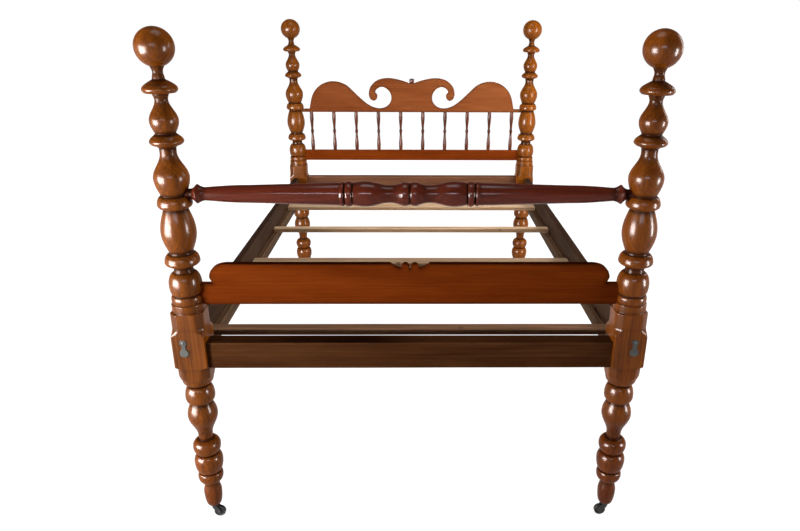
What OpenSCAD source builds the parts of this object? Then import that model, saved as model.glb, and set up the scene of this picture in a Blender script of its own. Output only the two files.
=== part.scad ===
// Four poster bed with cannonball posts, a scroll-cut headboard, a footboard with a
// turned blanket roll above it, bolted rails and casters.
// Origin: on the floor under the middle of the bed. X runs across, +Y towards the head, +Z up.

/* [Bed] */
// Distance between the post axes across the bed
posts_across = 1306; // [1080:2:1600]
// Distance between the post axes along the bed
posts_along = 2000; // [1660:10:2400]

/* [Posts] */
// Side of the square block, and of the stock that the post is turned from
post_square = 96; // [92:1:116]
// Height of the foot end above the floor
foot_end_height = 53; // [52:1:60]
// Length of the turned leg under the block
leg_length = 461; // [380:1:560]
// Height of the round cup under the block
cup_height = 46; // [38:1:60]
// Height of the lower eight-sided stretch above the cup
lower_octagon_height = 18; // [8:1:50]
// Height of a lamb's-tongue stop under the square stretch
lower_tongue_height = 12; // [8:1:30]
// Height of the square stretch that takes the rails
square_height = 96; // [90:1:120]
// Height of a lamb's-tongue stop over the square stretch
upper_tongue_height = 26; // [10:1:35]
// Height of the upper eight-sided stretch
upper_octagon_height = 48; // [30:1:80]
// Depth of the cut at a corner of an eight-sided stretch, along a side of the square
corner_cut = 20; // [14:1:28]
// Length of the turned shaft from the block to the ball
shaft_length = 689; // [600:1:840]
// Radius of the ball on top
ball_radius = 50.5; // [42:0.5:60]

/* [End rails] */
// Thickness of the foot and head rails
end_rail_thickness = 52; // [40:1:60]
// Height of the foot and head rails
end_rail_height = 85; // [70:1:100]
// How far an end rail's outer face stands back from the block's face
end_rail_setback = 11; // [6:1:20]
// Drop from the top of the square stretch to the top of the foot rail
foot_rail_drop = 20; // [0:1:30]
// Rise from the top of the square stretch to the top of the head rail
head_rail_rise = 4; // [-10:1:20]
// Thickness of an end rail's tenon
end_tenon_thickness = 20; // [14:1:26]
// Length of an end rail's tenon
end_tenon_length = 38; // [25:1:42]

/* [Side rails] */
// Thickness of a side rail
side_rail_thickness = 27; // [24:1:34]
// Height of a side rail
side_rail_height = 121; // [110:1:150]
// How far a side rail's outer face stands back from the block's face
side_rail_setback = 21; // [14:1:26]
// Rise from the top of the square stretch to the top of a side rail
side_rail_rise = 4; // [0:1:20]
// Length of a side rail's stub tenon
stub_tenon_length = 12; // [8:1:16]
// Thickness of a side rail's stub tenon
stub_tenon_thickness = 16; // [14:1:20]

/* [Ledgers and slats] */
// Width of the ledger that the slats rest on
ledger_width = 22; // [16:1:30]
// Height of the ledger
ledger_height = 40; // [30:1:48]
// Gap between a ledger's end and the post
ledger_end_gap = 8; // [4:1:20]
// Thickness of a slat
slat_thickness = 19; // [15:1:24]
// Gap between a slat's end and the side rail
slat_end_gap = 3; // [1:0.5:6]
// Width of the slat next to the foot rail
slat_foot_end_width = 46; // [35:1:70]
// Width of the second slat
slat_foot_width = 64; // [40:1:90]
// Width of the third slat
slat_middle_width = 39; // [30:1:70]
// Width of the slat nearest the head
slat_head_width = 89; // [50:1:110]

/* [Boards] */
// Thickness of the footboard, the crest and the headboard's lower rail
board_thickness = 22; // [18:1:26]
// Distance from a post's axis to the housed end of the footboard and lower rail
board_end_from_axis = 32; // [30:1:38]
// Distance from the top of the block to the bottom of the footboard
footboard_lift = 20; // [15:1:35]
// Height of the footboard at its top edge
footboard_height = 125.5; // [112:0.5:135]
// Height of the footboard at its ledges next to the posts
footboard_ledge_height = 64; // [50:1:70]
// Distance from the top of the block to the bottom of the headboard's lower rail
lower_rail_lift = 27; // [15:1:35]
// Height of the headboard's lower rail
lower_rail_height = 58; // [45:1:66]
// Distance from a post's axis to the housed end of the crest
crest_end_from_axis = 23; // [20:1:28]
// Height of the crest's narrow ends
crest_end_height = 16.5; // [12:0.5:20]

/* [Spindles] */
// Number of spindles under the crest
spindle_count = 10; // [6:1:11]
// Distance from a post's axis to the nearest spindle
spindle_to_post = 89.3; // [80:0.1:110]
// Radius of a spindle's round tenon
spindle_tenon_radius = 6; // [4:0.5:7]

/* [Blanket roll] */
// Radius of the roll's journal in the post
journal_radius = 14.5; // [10:0.5:17]
// Depth of the journal's socket behind the waist of the post
journal_depth = 22; // [15:1:28]
// Radial running clearance of the journal
journal_clearance = 0.08; // [0.05:0.01:0.1]
// Play at each end of the roll
roll_end_play = 0.5; // [0.3:0.1:1.5]

/* [Bed bolts] */
// Radius of a bed bolt's shank
bolt_radius = 4.5; // [3.5:0.5:5]
// Length of the shank under the head
bolt_length = 142; // [130:1:160]
// Height of the bolt above the bottom of the side rail
bolt_rise = 69; // [55:1:80]
// Side of the square nut
nut_side = 16; // [14:1:17]
// Thickness of the nut
nut_thickness = 8; // [6:1:10]
// Thickness of a bolt cover
cover_thickness = 2; // [1.5:0.1:3]
// Distance from the bolt's axis up to the cover's pin
cover_pin_rise = 33; // [30:1:38]

/* [Casters] */
// Radius of a caster wheel
wheel_radius = 18.5; // [14:0.5:18.5]
// Width of a caster wheel
wheel_width = 14; // [10:1:16]
// Distance from the swivel axis back to the wheel's axle
caster_trail = 15; // [10:1:18]

/* [Fits] */
// Gap around a tenon, and around a board in its housing
joint_gap = 0.3; // [0.2:0.05:0.5]
// Radial clearance of a running fit
running_fit = 0.05; // [0.02:0.01:0.1]

/* [Hidden] */
$fn = 72;
SPINDLES = [for (i = [1 : spindle_count]) str("spindle_", i)];
CORNERS = ["foot_left", "foot_right", "head_left", "head_right"];

// Colours
post_colour = [0.56, 0.30, 0.13];
rail_colour = [0.40, 0.24, 0.15];
board_colour = [0.47, 0.22, 0.12];
roll_colour = [0.38, 0.16, 0.11];
slat_colour = [0.78, 0.66, 0.50];
old_slat_colour = [0.55, 0.42, 0.29];
iron_colour = [0.16, 0.15, 0.14];
steel_colour = [0.45, 0.44, 0.42];
cover_colour = [0.42, 0.42, 0.36];

// Turned outlines. Each stretch is its length, the radius it ends with and the run of the
// outline: a line, an eased S, a round bead rising or falling away, a swell or a sinking cove.
drawn_square = 96;
leg_foot_radius = 19;
leg_turning = [
    [52, 28.5, "round"],
    [35, 22.5, "ease"],
    [2, 20, "line"],
    [26, 39.5, "round"],
    [15, 34, "fall"],
    [2, 30, "line"],
    [42, 44.5, "round"],
    [28, 27.5, "fall"],
    [29, 43, "round"],
    [25, 21.5, "fall"],
    [18, 22.5, "ease"],
    [74, 45.5, "ease"],
    [46, 31.5, "sink"],
    [21, 44.5, "round"],
    [40, 28, "fall"],
    [6, 32, "line"]
];
cup_foot_radius = 33;
cup_turning = [
    [18, 47, "round"],
    [28, 56, "swell"]
];
core_radius = 26;
core_overlap = 10;
collar_radius = 47.5;
waist_radius = 34.2;
shaft_neck_radius = 18.5;
below_crest_waist = [
    [24, 47, "line"],
    [2, 43, "line"],
    [12, 45, "round"],
    [12, 40, "fall"],
    [3, 38.5, "line"],
    [29, 46.5, "round"],
    [38, 28, "fall"],
    [13, 26.5, "ease"],
    [7, 28.5, "ease"],
    [12, 49, "round"],
    [25, 34, "fall"],
    [6, 33, "line"],
    [58, 48.5, "swell"],
    [69, 32.5, "sink"]
];
waist_ring = [
    [12, 47.5, "round"],
    [24, 34, "fall"],
    [2, waist_radius, "line"]
];
above_roll_waist = [
    [48, 48, "swell"],
    [69, 22, "ease"],
    [12, 22.5, "line"],
    [7, 28, "ease"],
    [2, 38, "line"],
    [9, 45, "swell"],
    [19, 29, "sink"],
    [3, 26.5, "line"],
    [33, 37.8, "swell"],
    [55, 17.2, "ease"],
    [15, 21, "ease"],
    [2, 40, "line"],
    [9, 46, "swell"],
    [25, 16.5, "sink"],
    [4, 16, "line"],
    [13, 13.3, "ease"],
    [16, shaft_neck_radius, "sink"]
];
shaft_turning = concat(below_crest_waist, waist_ring, above_roll_waist);

// Half of a spindle, from its shoulder to its middle
spindle_end_radius = 9;
spindle_half = [
    [27, 10.5, "swell"],
    [74, 6.5, "ease"],
    [5.5, 8, "round"]
];

// The blanket roll from its middle outwards: centre bead, waist, vase, bead between grooves,
// shoulder; then the shaft; then the sharp ridge and the cone that narrows to the journal
roll_middle_radius = 29;
roll_centre = [
    [3, 31, "line"],
    [9, 33, "swell"],
    [7, 33, "line"],
    [36, 24, "swell"],
    [67, 35.3, "ease"],
    [35, 31, "sink"],
    [1.5, 28, "line"],
    [1.5, 31, "line"],
    [9, 35, "round"],
    [9, 31, "fall"],
    [2.5, 29, "line"],
    [2, 32, "line"],
    [5, 34, "round"],
    [7, 31.6, "ease"]
];
roll_shaft_middle_radius = 24.8;
roll_shaft_end_radius = 18.6;
roll_ridge = [
    [22, 27.4, "sink"],
    [19, journal_radius, "swell"]
];
roll_ridge_clearance = 12;

// Places worked out from the driving sizes
half_x = posts_across / 2;
half_y = posts_along / 2;
half_square = post_square / 2;
girth = post_square / drawn_square;
block_bottom = foot_end_height + leg_length;
lower_octagon_bottom = block_bottom + cup_height;
square_bottom = lower_octagon_bottom + lower_octagon_height + lower_tongue_height;
square_top = square_bottom + square_height;
block_top = square_top + upper_tongue_height + upper_octagon_height;
shaft_stretch = shaft_length / length_of(shaft_turning);
crest_waist_z = block_top + shaft_stretch * length_of(below_crest_waist);
neck_top = block_top + shaft_length;
ball_z = neck_top + sqrt(pow(ball_radius, 2) - pow(shaft_neck_radius * girth, 2));

foot_rail_bottom = square_top - foot_rail_drop - end_rail_height;
head_rail_bottom = square_top + head_rail_rise - end_rail_height;
end_rail_y = half_y + half_square - end_rail_setback - end_rail_thickness / 2;
end_tenon_shoulder = 10;
side_rail_bottom = square_top + side_rail_rise - side_rail_height;
side_rail_x = half_x + half_square - side_rail_setback - side_rail_thickness / 2;
side_rail_inner_x = side_rail_x - side_rail_thickness / 2;
stub_tenon_shoulder = 20;
rail_end_y = half_y - half_square;
ledger_x = side_rail_inner_x - ledger_width / 2;
slat_bottom = side_rail_bottom + ledger_height;
slat_length = 2 * (side_rail_inner_x - slat_end_gap);
edge = 1.5;

// Where each slat's middle lies along the bed: the two at the foot are placed from the foot
// posts, the next from the bed's middle and the last from the head posts
slat_foot_end_y = 149 - half_y;
slat_foot_y = 766 - half_y;
slat_middle_y = 210.5;
slat_head_y = half_y - 388.5;

footboard_bottom = block_top + footboard_lift;
lower_rail_bottom = block_top + lower_rail_lift;
lower_rail_top = lower_rail_bottom + lower_rail_height;
crest_below_waist = 3;
crest_bottom = crest_waist_z - crest_below_waist - crest_end_height / 2;
board_half_length = half_x - board_end_from_axis;
crest_half_length = half_x - crest_end_from_axis;
spindle_length = crest_bottom - lower_rail_top;
spindle_pitch = 2 * (half_x - spindle_to_post) / (spindle_count - 1);
spindle_upper_tenon = 10;
spindle_lower_tenon = 15;
spindle_fit = 0.1;

peg_seat_half = 15;
peg_seat_height = 157.5;
peg_tenon_radius = 6;
peg_tenon_length = 20;

roll_above_ring = 2;
roll_z = block_top + shaft_stretch * length_of(concat(below_crest_waist, waist_ring)) + roll_above_ring;
roll_socket_end = half_x - waist_radius * girth + journal_depth;
roll_half_length = roll_socket_end - roll_end_play;
roll_ridge_end = half_x - waist_radius * girth - roll_ridge_clearance;

bolt_z = side_rail_bottom + bolt_rise;
bolt_hole_radius = bolt_radius + 0.3;
bolt_past_nut = 7;
counterbore_radius = 11.5;
counterbore_depth = 12;
bolt_head_y = half_y + half_square - counterbore_depth;
nut_wall_y = bolt_head_y - bolt_length + bolt_past_nut + nut_thickness;
cover_y = half_y + half_square + joint_gap;
cover_disc_radius = 13;
cover_top_radius = 10;
cover_neck_width = 12;
cover_pin_radius = 2.5;
cover_pin_depth = 14;

screw_radius = 2;
screw_count = 7;
screw_inset = 104;
screw_pitch = 2 * (rail_end_y - ledger_end_gap - screw_inset) / (screw_count - 1);
screw_length = 40;

socket_flange_radius = 18;
socket_flange_height = 3;
socket_radius = 8;
socket_length = 40;
stem_radius = 5;
stem_top = foot_end_height + 35;
horn_top = foot_end_height - socket_flange_height - joint_gap;
axle_radius = 3;
arm_thickness = 3.5;
arm_gap = 0.5;

// Outline functions
function length_of(rows, count = undef) =
    let (n = is_undef(count) ? len(rows) : count)
    n == 0 ? 0 : rows[n - 1][0] + length_of(rows, n - 1);
function run_along(run, t) = run == "round" ? 1 - cos(90 * t) : run == "fall" ? sin(90 * t) : t;
function run_out(run, t) =
    run == "line" ? t :
    run == "ease" ? (1 - cos(180 * t)) / 2 :
    run == "round" || run == "swell" ? sin(90 * t) :
    1 - cos(90 * t);

// Points [radius, height] along a turned outline, from its start radius upwards
function turned(rows, start, stretch = 1, girth = 1, steps = 6) = concat(
    [[start * girth, 0]],
    [
        for (i = [0 : len(rows) - 1])
            let (
                low = length_of(rows, i),
                from = i == 0 ? start : rows[i - 1][1],
                run = rows[i][2],
                count = run == "line" ? 1 : rows[i][0] > 50 ? steps + 3 : steps
            )
            for (k = [1 : count])
                [
                    girth * (from + (rows[i][1] - from) * run_out(run, k / count)),
                    stretch * (low + rows[i][0] * run_along(run, k / count))
                ]
    ]
);
function closed_to_axis(points) = concat([[0, points[0][1]]], points, [[0, points[len(points) - 1][1]]]);
function reversed(points) = [for (i = [len(points) - 1 : -1 : 0]) points[i]];
function flipped(points) = [for (p = reversed(points)) [p[0], -p[1]]];
function mirrored_outline(points) = concat(points, [for (p = reversed(points)) [-p[0], p[1]]]);
function curve_between(a, b, c, d, t) =
    (2 * b + (c - a) * t + (2 * a - 5 * b + 4 * c - d) * t * t + (3 * b - a - 3 * c + d) * t * t * t) / 2;
function smooth(points, steps) = concat(
    [
        for (i = [0 : len(points) - 2])
            for (k = [0 : steps - 1])
                curve_between(
                    points[max(i - 1, 0)],
                    points[i],
                    points[i + 1],
                    points[min(i + 2, len(points) - 1)],
                    k / steps
                )
    ],
    [points[len(points) - 1]]
);
function dome(radius, height) = [for (a = [0 : 15 : 90]) [radius * cos(a), height * sin(a)]];

// Shapes that repeat
module quarter(side, end) {
    mirror([side < 0 ? 1 : 0, 0, 0])
        mirror([0, end < 0 ? 1 : 0, 0])
            children();
}

function side_of(corner) = corner == "foot_left" || corner == "head_left" ? -1 : 1;
function end_of(corner) = corner == "foot_left" || corner == "foot_right" ? -1 : 1;

module box(low, high) {
    translate(low)
        cube(high - low);
}

module rod_x(radius, from, to) {
    translate([from, 0, 0])
        rotate([0, 90, 0])
            cylinder(h = to - from, r = radius);
}

module rod_y(radius, from, to) {
    translate([0, to, 0])
        rotate([90, 0, 0])
            cylinder(h = to - from, r = radius);
}

module eased_section(width, height) {
    polygon([
        [-width / 2 + edge, 0],
        [width / 2 - edge, 0],
        [width / 2, edge],
        [width / 2, height - edge],
        [width / 2 - edge, height],
        [-width / 2 + edge, height],
        [-width / 2, height - edge],
        [-width / 2, edge]
    ]);
}

module bar_across(length, width, height) {
    rotate([90, 0, 90])
        linear_extrude(length, center = true)
            eased_section(width, height);
}

module bar_along(length, width, height) {
    rotate([90, 0, 0])
        linear_extrude(length, center = true)
            eased_section(width, height);
}

module upright_board(y) {
    translate([0, y, 0])
        rotate([90, 0, 0])
            linear_extrude(board_thickness, center = true)
                children();
}

// Posts
module leg() {
    translate([0, 0, foot_end_height])
        rotate_extrude()
            polygon(closed_to_axis(turned(
                leg_turning, leg_foot_radius, leg_length / length_of(leg_turning), girth)));
}

// Outline of the block seen across one corner: the eight-sided stretches are cut in to the
// corner's flat, and an S-shaped lamb's tongue runs out to the full corner
module corner_outline() {
    corner = half_square * sqrt(2) + 1;
    flat = (post_square - corner_cut) / sqrt(2);
    low_tongue = [
        for (t = [0 : 0.125 : 1])
            [flat + (corner - flat) * run_out("ease", t), square_bottom - lower_tongue_height * (1 - t)]
    ];
    high_tongue = [
        for (t = [0 : 0.125 : 1])
            [corner + (flat - corner) * run_out("ease", t), square_top + upper_tongue_height * t]
    ];
    polygon(mirrored_outline(concat(
        [[flat, block_bottom]],
        low_tongue,
        high_tongue,
        [[flat, block_top]]
    )));
}

module block() {
    cup = turned(cup_turning, cup_foot_radius, cup_height / length_of(cup_turning), girth);
    intersection() {
        translate([-half_square, -half_square, block_bottom])
            cube([post_square, post_square, block_top - block_bottom]);
        for (turn = [45, -45])
            rotate([90, 0, turn])
                linear_extrude(2 * post_square, center = true)
                    corner_outline();
        rotate_extrude()
            polygon(concat(
                [[0, block_bottom]],
                [for (p = cup) [p[0], block_bottom + p[1]]],
                [[post_square, lower_octagon_bottom], [post_square, block_top], [0, block_top]]
            ));
    }
}

module shaft() {
    translate([0, 0, block_top])
        rotate_extrude()
            polygon(closed_to_axis(concat(
                turned(shaft_turning, collar_radius, shaft_stretch, girth),
                [[shaft_neck_radius * girth, ball_z - block_top]]
            )));
    translate([0, 0, ball_z])
        sphere(r = ball_radius);
}

module rail_mortises(end_rail_bottom) {
    box(
        [half_x - half_square - 1, end_rail_y - end_tenon_thickness / 2 - joint_gap,
            end_rail_bottom + end_tenon_shoulder - joint_gap],
        [half_x - half_square + end_tenon_length + joint_gap,
            end_rail_y + end_tenon_thickness / 2 + joint_gap,
            end_rail_bottom + end_rail_height - end_tenon_shoulder + joint_gap]
    );
    box(
        [side_rail_x - stub_tenon_thickness / 2 - joint_gap, rail_end_y - 1,
            side_rail_bottom + stub_tenon_shoulder - joint_gap],
        [side_rail_x + stub_tenon_thickness / 2 + joint_gap,
            rail_end_y + stub_tenon_length + joint_gap,
            side_rail_bottom + side_rail_height - stub_tenon_shoulder + joint_gap]
    );
}

module bolt_bores() {
    translate([side_rail_x, 0, bolt_z]) {
        rod_y(bolt_hole_radius, rail_end_y - 1, bolt_head_y + 1);
        rod_y(counterbore_radius, bolt_head_y, half_y + half_square + 1);
    }
    translate([side_rail_x, 0, bolt_z + cover_pin_rise])
        rod_y(cover_pin_radius + running_fit, half_y + half_square - cover_pin_depth,
            half_y + half_square + 1);
}

module caster_bore() {
    translate([half_x, half_y, foot_end_height - 1])
        cylinder(h = socket_length + 2, r = socket_radius + 0.1);
}

// Housing for a board's end in the turned part of the post
module housing(end_x, bottom, height) {
    box(
        [half_x - post_square, half_y - board_thickness / 2 - joint_gap, bottom - joint_gap],
        [end_x + joint_gap, half_y + board_thickness / 2 + joint_gap, bottom + height + joint_gap]
    );
}

module post(end_rail_bottom) {
    color(post_colour)
        difference() {
            translate([half_x, half_y, 0]) {
                leg();
                block();
                shaft();
                cylinder_between(core_radius * girth, block_bottom - core_overlap, block_top + core_overlap);
            }
            rail_mortises(end_rail_bottom);
            bolt_bores();
            caster_bore();
            children();
        }
}

module foot_post(side) {
    quarter(side, -1)
        post(foot_rail_bottom) {
            housing(board_half_length, footboard_bottom, footboard_ledge_height);
            translate([0, half_y, roll_z])
                rod_x(journal_radius + journal_clearance, half_x - post_square, roll_socket_end);
        }
}

module head_post(side) {
    quarter(side, 1)
        post(head_rail_bottom) {
            housing(board_half_length, lower_rail_bottom, lower_rail_height);
            housing(crest_half_length, crest_bottom, crest_end_height);
        }
}

module foot_post_left() { foot_post(-1); }
module foot_post_right() { foot_post(1); }
module head_post_left() { head_post(-1); }
module head_post_right() { head_post(1); }

// Rails
module end_rail(y, bottom) {
    color(rail_colour)
        translate([0, y, bottom]) {
            bar_across(posts_across - post_square, end_rail_thickness, end_rail_height);
            translate([0, 0, end_rail_height / 2])
                cube([
                    posts_across - post_square + 2 * end_tenon_length,
                    end_tenon_thickness,
                    end_rail_height - 2 * end_tenon_shoulder
                ], center = true);
        }
}

module foot_rail() { end_rail(-end_rail_y, foot_rail_bottom); }
module head_rail() { end_rail(end_rail_y, head_rail_bottom); }

module nut_pocket() {
    box(
        [side_rail_inner_x - 1, nut_wall_y - nut_thickness - 2 * joint_gap,
            bolt_z - nut_side / 2 - joint_gap],
        [side_rail_x + nut_side / 2 + joint_gap, nut_wall_y, bolt_z + nut_side / 2 + joint_gap]
    );
}

module screw_places() {
    for (i = [0 : screw_count - 1])
        translate([0, screw_pitch * (i - (screw_count - 1) / 2), side_rail_bottom + ledger_height / 2])
            children();
}

module side_rail(side) {
    color(rail_colour)
        quarter(side, 1)
            difference() {
                translate([side_rail_x, 0, side_rail_bottom]) {
                    bar_along(2 * rail_end_y, side_rail_thickness, side_rail_height);
                    translate([0, 0, side_rail_height / 2])
                        cube([
                            stub_tenon_thickness,
                            2 * (rail_end_y + stub_tenon_length),
                            side_rail_height - 2 * stub_tenon_shoulder
                        ], center = true);
                }
                for (end = [-1, 1])
                    quarter(1, end) {
                        translate([side_rail_x, 0, bolt_z])
                            rod_y(bolt_hole_radius, bolt_head_y - bolt_length - 5, half_y);
                        nut_pocket();
                    }
                screw_places()
                    rod_x(screw_radius + 0.1, side_rail_inner_x - 1,
                        side_rail_inner_x - ledger_width + screw_length + joint_gap);
            }
}

module side_rail_left() { side_rail(-1); }
module side_rail_right() { side_rail(1); }

// Ledgers
screw_head_radius = 4;
screw_head_depth = 2.5;

module ledger(side) {
    color(rail_colour)
        quarter(side, 1)
            difference() {
                translate([ledger_x, 0, side_rail_bottom])
                    bar_along(2 * (rail_end_y - ledger_end_gap), ledger_width, ledger_height);
                screw_places() {
                    rod_x(screw_radius + 0.1, side_rail_inner_x - ledger_width - 1, side_rail_inner_x + 1);
                    rod_x(screw_head_radius + 0.1, side_rail_inner_x - ledger_width - 1,
                        side_rail_inner_x - ledger_width + screw_head_depth);
                }
                children();
            }
}

module ledger_left() { ledger(-1); }

// The right ledger has a shallow slot worn in its top beside the rail
module ledger_right() {
    slot_width = 7;
    slot_depth = 10;
    slot_from_foot = [243, 335];
    ledger(1)
        box(
            [side_rail_inner_x - slot_width, slot_from_foot[0] - half_y, slat_bottom - slot_depth],
            [side_rail_inner_x + 1, slot_from_foot[1] - half_y, slat_bottom + 1]
        );
}

module ledger_screws() {
    color(steel_colour)
        for (side = [-1, 1])
            quarter(side, 1)
                screw_places() {
                    rod_x(screw_radius, side_rail_inner_x - ledger_width,
                        side_rail_inner_x - ledger_width + screw_length);
                    rod_x(screw_head_radius, side_rail_inner_x - ledger_width,
                        side_rail_inner_x - ledger_width + screw_head_depth);
                }
}

// Slats
module slat(y, width) {
    translate([0, y, slat_bottom])
        bar_across(slat_length, width, slat_thickness);
}

module slat_foot_end() { color(old_slat_colour) slat(slat_foot_end_y, slat_foot_end_width); }
module slat_foot() { color(slat_colour) slat(slat_foot_y, slat_foot_width); }
module slat_middle() { color(slat_colour) slat(slat_middle_y, slat_middle_width); }
module slat_head() { color(slat_colour) slat(slat_head_y, slat_head_width); }

// Footboard, with two small scrolls cut in the middle of its top edge
module footboard_outline() {
    lobe_radius = 12.5;
    lobe_x = 13.5;
    scoop_start = 26;
    scoop_end = 58;
    scoop_depth = 14;
    gap_floor = footboard_height - 17;
    ear = smooth([
        [half_x - 82, footboard_ledge_height],
        [half_x - 75, footboard_height - 47],
        [half_x - 73, footboard_height - 37],
        [half_x - 80, footboard_height - 19],
        [half_x - 95, footboard_height - 6.5],
        [half_x - 115, footboard_height - 0.8],
        [half_x - 130, footboard_height]
    ], 4);
    scoop = [
        for (t = [0 : 0.1 : 1])
            [scoop_start + (scoop_end - scoop_start) * t,
                footboard_height - scoop_depth * (1 - run_out("sink", t))]
    ];
    difference() {
        polygon(mirrored_outline(concat(
            [[board_half_length, 0], [board_half_length, footboard_ledge_height]],
            ear
        )));
        polygon(mirrored_outline(concat(
            [[1, gap_floor], [scoop_start, footboard_height - scoop_depth]],
            scoop,
            [[scoop_end, footboard_height + 1]]
        )));
    }
    for (side = [-1, 1])
        translate([side * lobe_x, footboard_height - lobe_radius])
            circle(r = lobe_radius);
}

module footboard() {
    color(board_colour)
        translate([0, 0, footboard_bottom])
            upright_board(-half_y)
                footboard_outline();
}

// Blanket roll between the foot posts, turning in their waists
module blanket_roll() {
    shaft = roll_ridge_end - length_of(roll_centre) - length_of(roll_ridge);
    rows = concat(
        roll_centre,
        [
            [0.68 * shaft, roll_shaft_middle_radius, "line"],
            [0.32 * shaft, roll_shaft_end_radius, "sink"]
        ],
        roll_ridge,
        [[roll_half_length - roll_ridge_end, journal_radius, "line"]]
    );
    half = turned(rows, roll_middle_radius);
    color(roll_colour)
        translate([0, -half_y, roll_z])
            rotate([0, 90, 0])
                rotate_extrude()
                    polygon(concat(
                        [[0, -roll_half_length]],
                        flipped(half),
                        [for (i = [1 : len(half) - 1]) half[i]],
                        [[0, roll_half_length]]
                    ));
}

// Headboard
module spindle_places() {
    for (i = [1 : spindle_count])
        translate([spindle_x(i), half_y, 0])
            children();
}

function spindle_x(i) = (i - (spindle_count + 1) / 2) * spindle_pitch;

module headboard_lower_rail() {
    color(board_colour)
        difference() {
            translate([0, 0, lower_rail_bottom])
                upright_board(half_y)
                    translate([-board_half_length, 0])
                        square([2 * board_half_length, lower_rail_height]);
            spindle_places()
                translate([0, 0, lower_rail_top - spindle_lower_tenon - joint_gap])
                    cylinder(h = spindle_lower_tenon + 1, r = spindle_tenon_radius + spindle_fit);
        }
}

// Half of the crest's outline above its bottom edge: the rise from the peg's seat to the top of
// the inner scroll, the ball that it ends in, the throat under it, and the outer arch
scroll_top = [
    [peg_seat_half, peg_seat_height],
    [50, 169.5],
    [89, 179],
    [127, 183.5],
    [166, 180],
    [200, 165.5],
    [228, 137],
    [237, 106],
    [236, 89],
    [229, 72],
    [213, 62.5],
    [197, 69],
    [190.5, 85],
    [194, 98],
    [202.5, 106]
];
throat_and_arch = [
    [202.5, 106],
    [199, 118],
    [185, 131],
    [164, 137.5],
    [139, 128],
    [119.5, 106],
    [113, 79],
    [119.5, 52],
    [139, 31],
    [162, 21.5],
    [189, 20],
    [224, 30],
    [256, 50],
    [289, 78],
    [324.5, 112],
    [357, 142],
    [389.5, 158],
    [418, 164.5],
    [447, 165],
    [471, 160],
    [503, 146],
    [532, 120],
    [550, 89.5],
    [560.5, 55],
    [566.5, 27],
    [569, 16.5]
];
crest_arch_end = throat_and_arch[len(throat_and_arch) - 1];
crest_arch_from_axis = 81;

module crest_outline() {
    spread = (half_x - crest_arch_from_axis) / crest_arch_end[0];
    rise = crest_end_height - crest_arch_end[1];
    half = concat(
        [[crest_half_length, 0], [crest_half_length, crest_end_height]],
        reversed([
            for (p = concat(smooth(scroll_top, 4), smooth(throat_and_arch, 4)))
                [p[0] * spread, p[1] + rise]
        ])
    );
    polygon(mirrored_outline(half));
}

module headboard_crest() {
    color(board_colour)
        difference() {
            translate([0, 0, crest_bottom])
                upright_board(half_y)
                    crest_outline();
            spindle_places()
                translate([0, 0, crest_bottom - 1])
                    cylinder(h = spindle_upper_tenon + joint_gap + 1, r = spindle_tenon_radius + spindle_fit);
            translate([0, half_y, peg_seat_z - peg_tenon_length - joint_gap])
                cylinder(h = peg_tenon_length + 5, r = peg_tenon_radius + spindle_fit);
        }
}

peg_seat_z = crest_bottom + peg_seat_height + crest_end_height - crest_arch_end[1];

// Turned peg standing in the dip of the crest
module crest_peg() {
    peg = [
        [3, 12, "line"],
        [8, 13.5, "swell"],
        [2, 13.5, "line"],
        [1, 12.5, "line"],
        [1, 13.8, "line"],
        [3, 13.8, "line"]
    ];
    color(roll_colour) {
        translate([0, half_y, peg_seat_z])
            rotate_extrude()
                polygon(closed_to_axis(concat(
                    turned(peg, 11),
                    [for (p = dome(13.8, 6)) [p[0], p[1] + length_of(peg)]]
                )));
        translate([0, half_y, peg_seat_z - peg_tenon_length])
            cylinder(h = peg_tenon_length + 1, r = peg_tenon_radius);
    }
}

module spindle(i) {
    lower_half = turned(spindle_half, spindle_end_radius, spindle_length / length_of(spindle_half) / 2);
    upper_half = [for (p = flipped(lower_half)) [p[0], p[1] + spindle_length]];
    color(board_colour)
        translate([spindle_x(i), half_y, lower_rail_top]) {
            rotate_extrude()
                polygon(concat(
                    [[0, 0]],
                    lower_half,
                    [for (k = [1 : len(upper_half) - 1]) upper_half[k]],
                    [[0, spindle_length]]
                ));
            translate([0, 0, -spindle_lower_tenon])
                cylinder(h = spindle_lower_tenon + spindle_length + spindle_upper_tenon,
                    r = spindle_tenon_radius);
        }
}

// Bed bolts with their nuts and covers
module bed_bolts() {
    head_radius = 9;
    head_height = 7;
    color(steel_colour)
        for (side = [-1, 1], end = [-1, 1])
            quarter(side, end)
                translate([side_rail_x, 0, bolt_z]) {
                    rod_y(bolt_radius, bolt_head_y - bolt_length, bolt_head_y + 1);
                    translate([0, bolt_head_y + head_height, 0])
                        rotate([90, 0, 0])
                            cylinder(h = head_height, r = head_radius, $fn = 6);
                }
}

module bed_nuts() {
    color(iron_colour)
        for (side = [-1, 1], end = [-1, 1])
            quarter(side, end)
                difference() {
                    box(
                        [side_rail_x - nut_side / 2, nut_wall_y - nut_thickness, bolt_z - nut_side / 2],
                        [side_rail_x + nut_side / 2, nut_wall_y, bolt_z + nut_side / 2]
                    );
                    translate([side_rail_x, 0, bolt_z])
                        rod_y(bolt_radius + running_fit, nut_wall_y - nut_thickness - 1, nut_wall_y + 1);
                }
}

module bolt_cover(corner) {
    color(cover_colour)
        quarter(side_of(corner), end_of(corner))
            translate([side_rail_x, cover_y + cover_thickness, bolt_z])
                rotate([90, 0, 0])
                    linear_extrude(cover_thickness)
                        difference() {
                            union() {
                                circle(r = cover_disc_radius);
                                translate([-cover_neck_width / 2, 0])
                                    square([cover_neck_width, cover_pin_rise]);
                                translate([0, cover_pin_rise])
                                    circle(r = cover_top_radius);
                            }
                            translate([0, cover_pin_rise])
                                circle(r = cover_pin_radius + running_fit);
                        }
}

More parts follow.
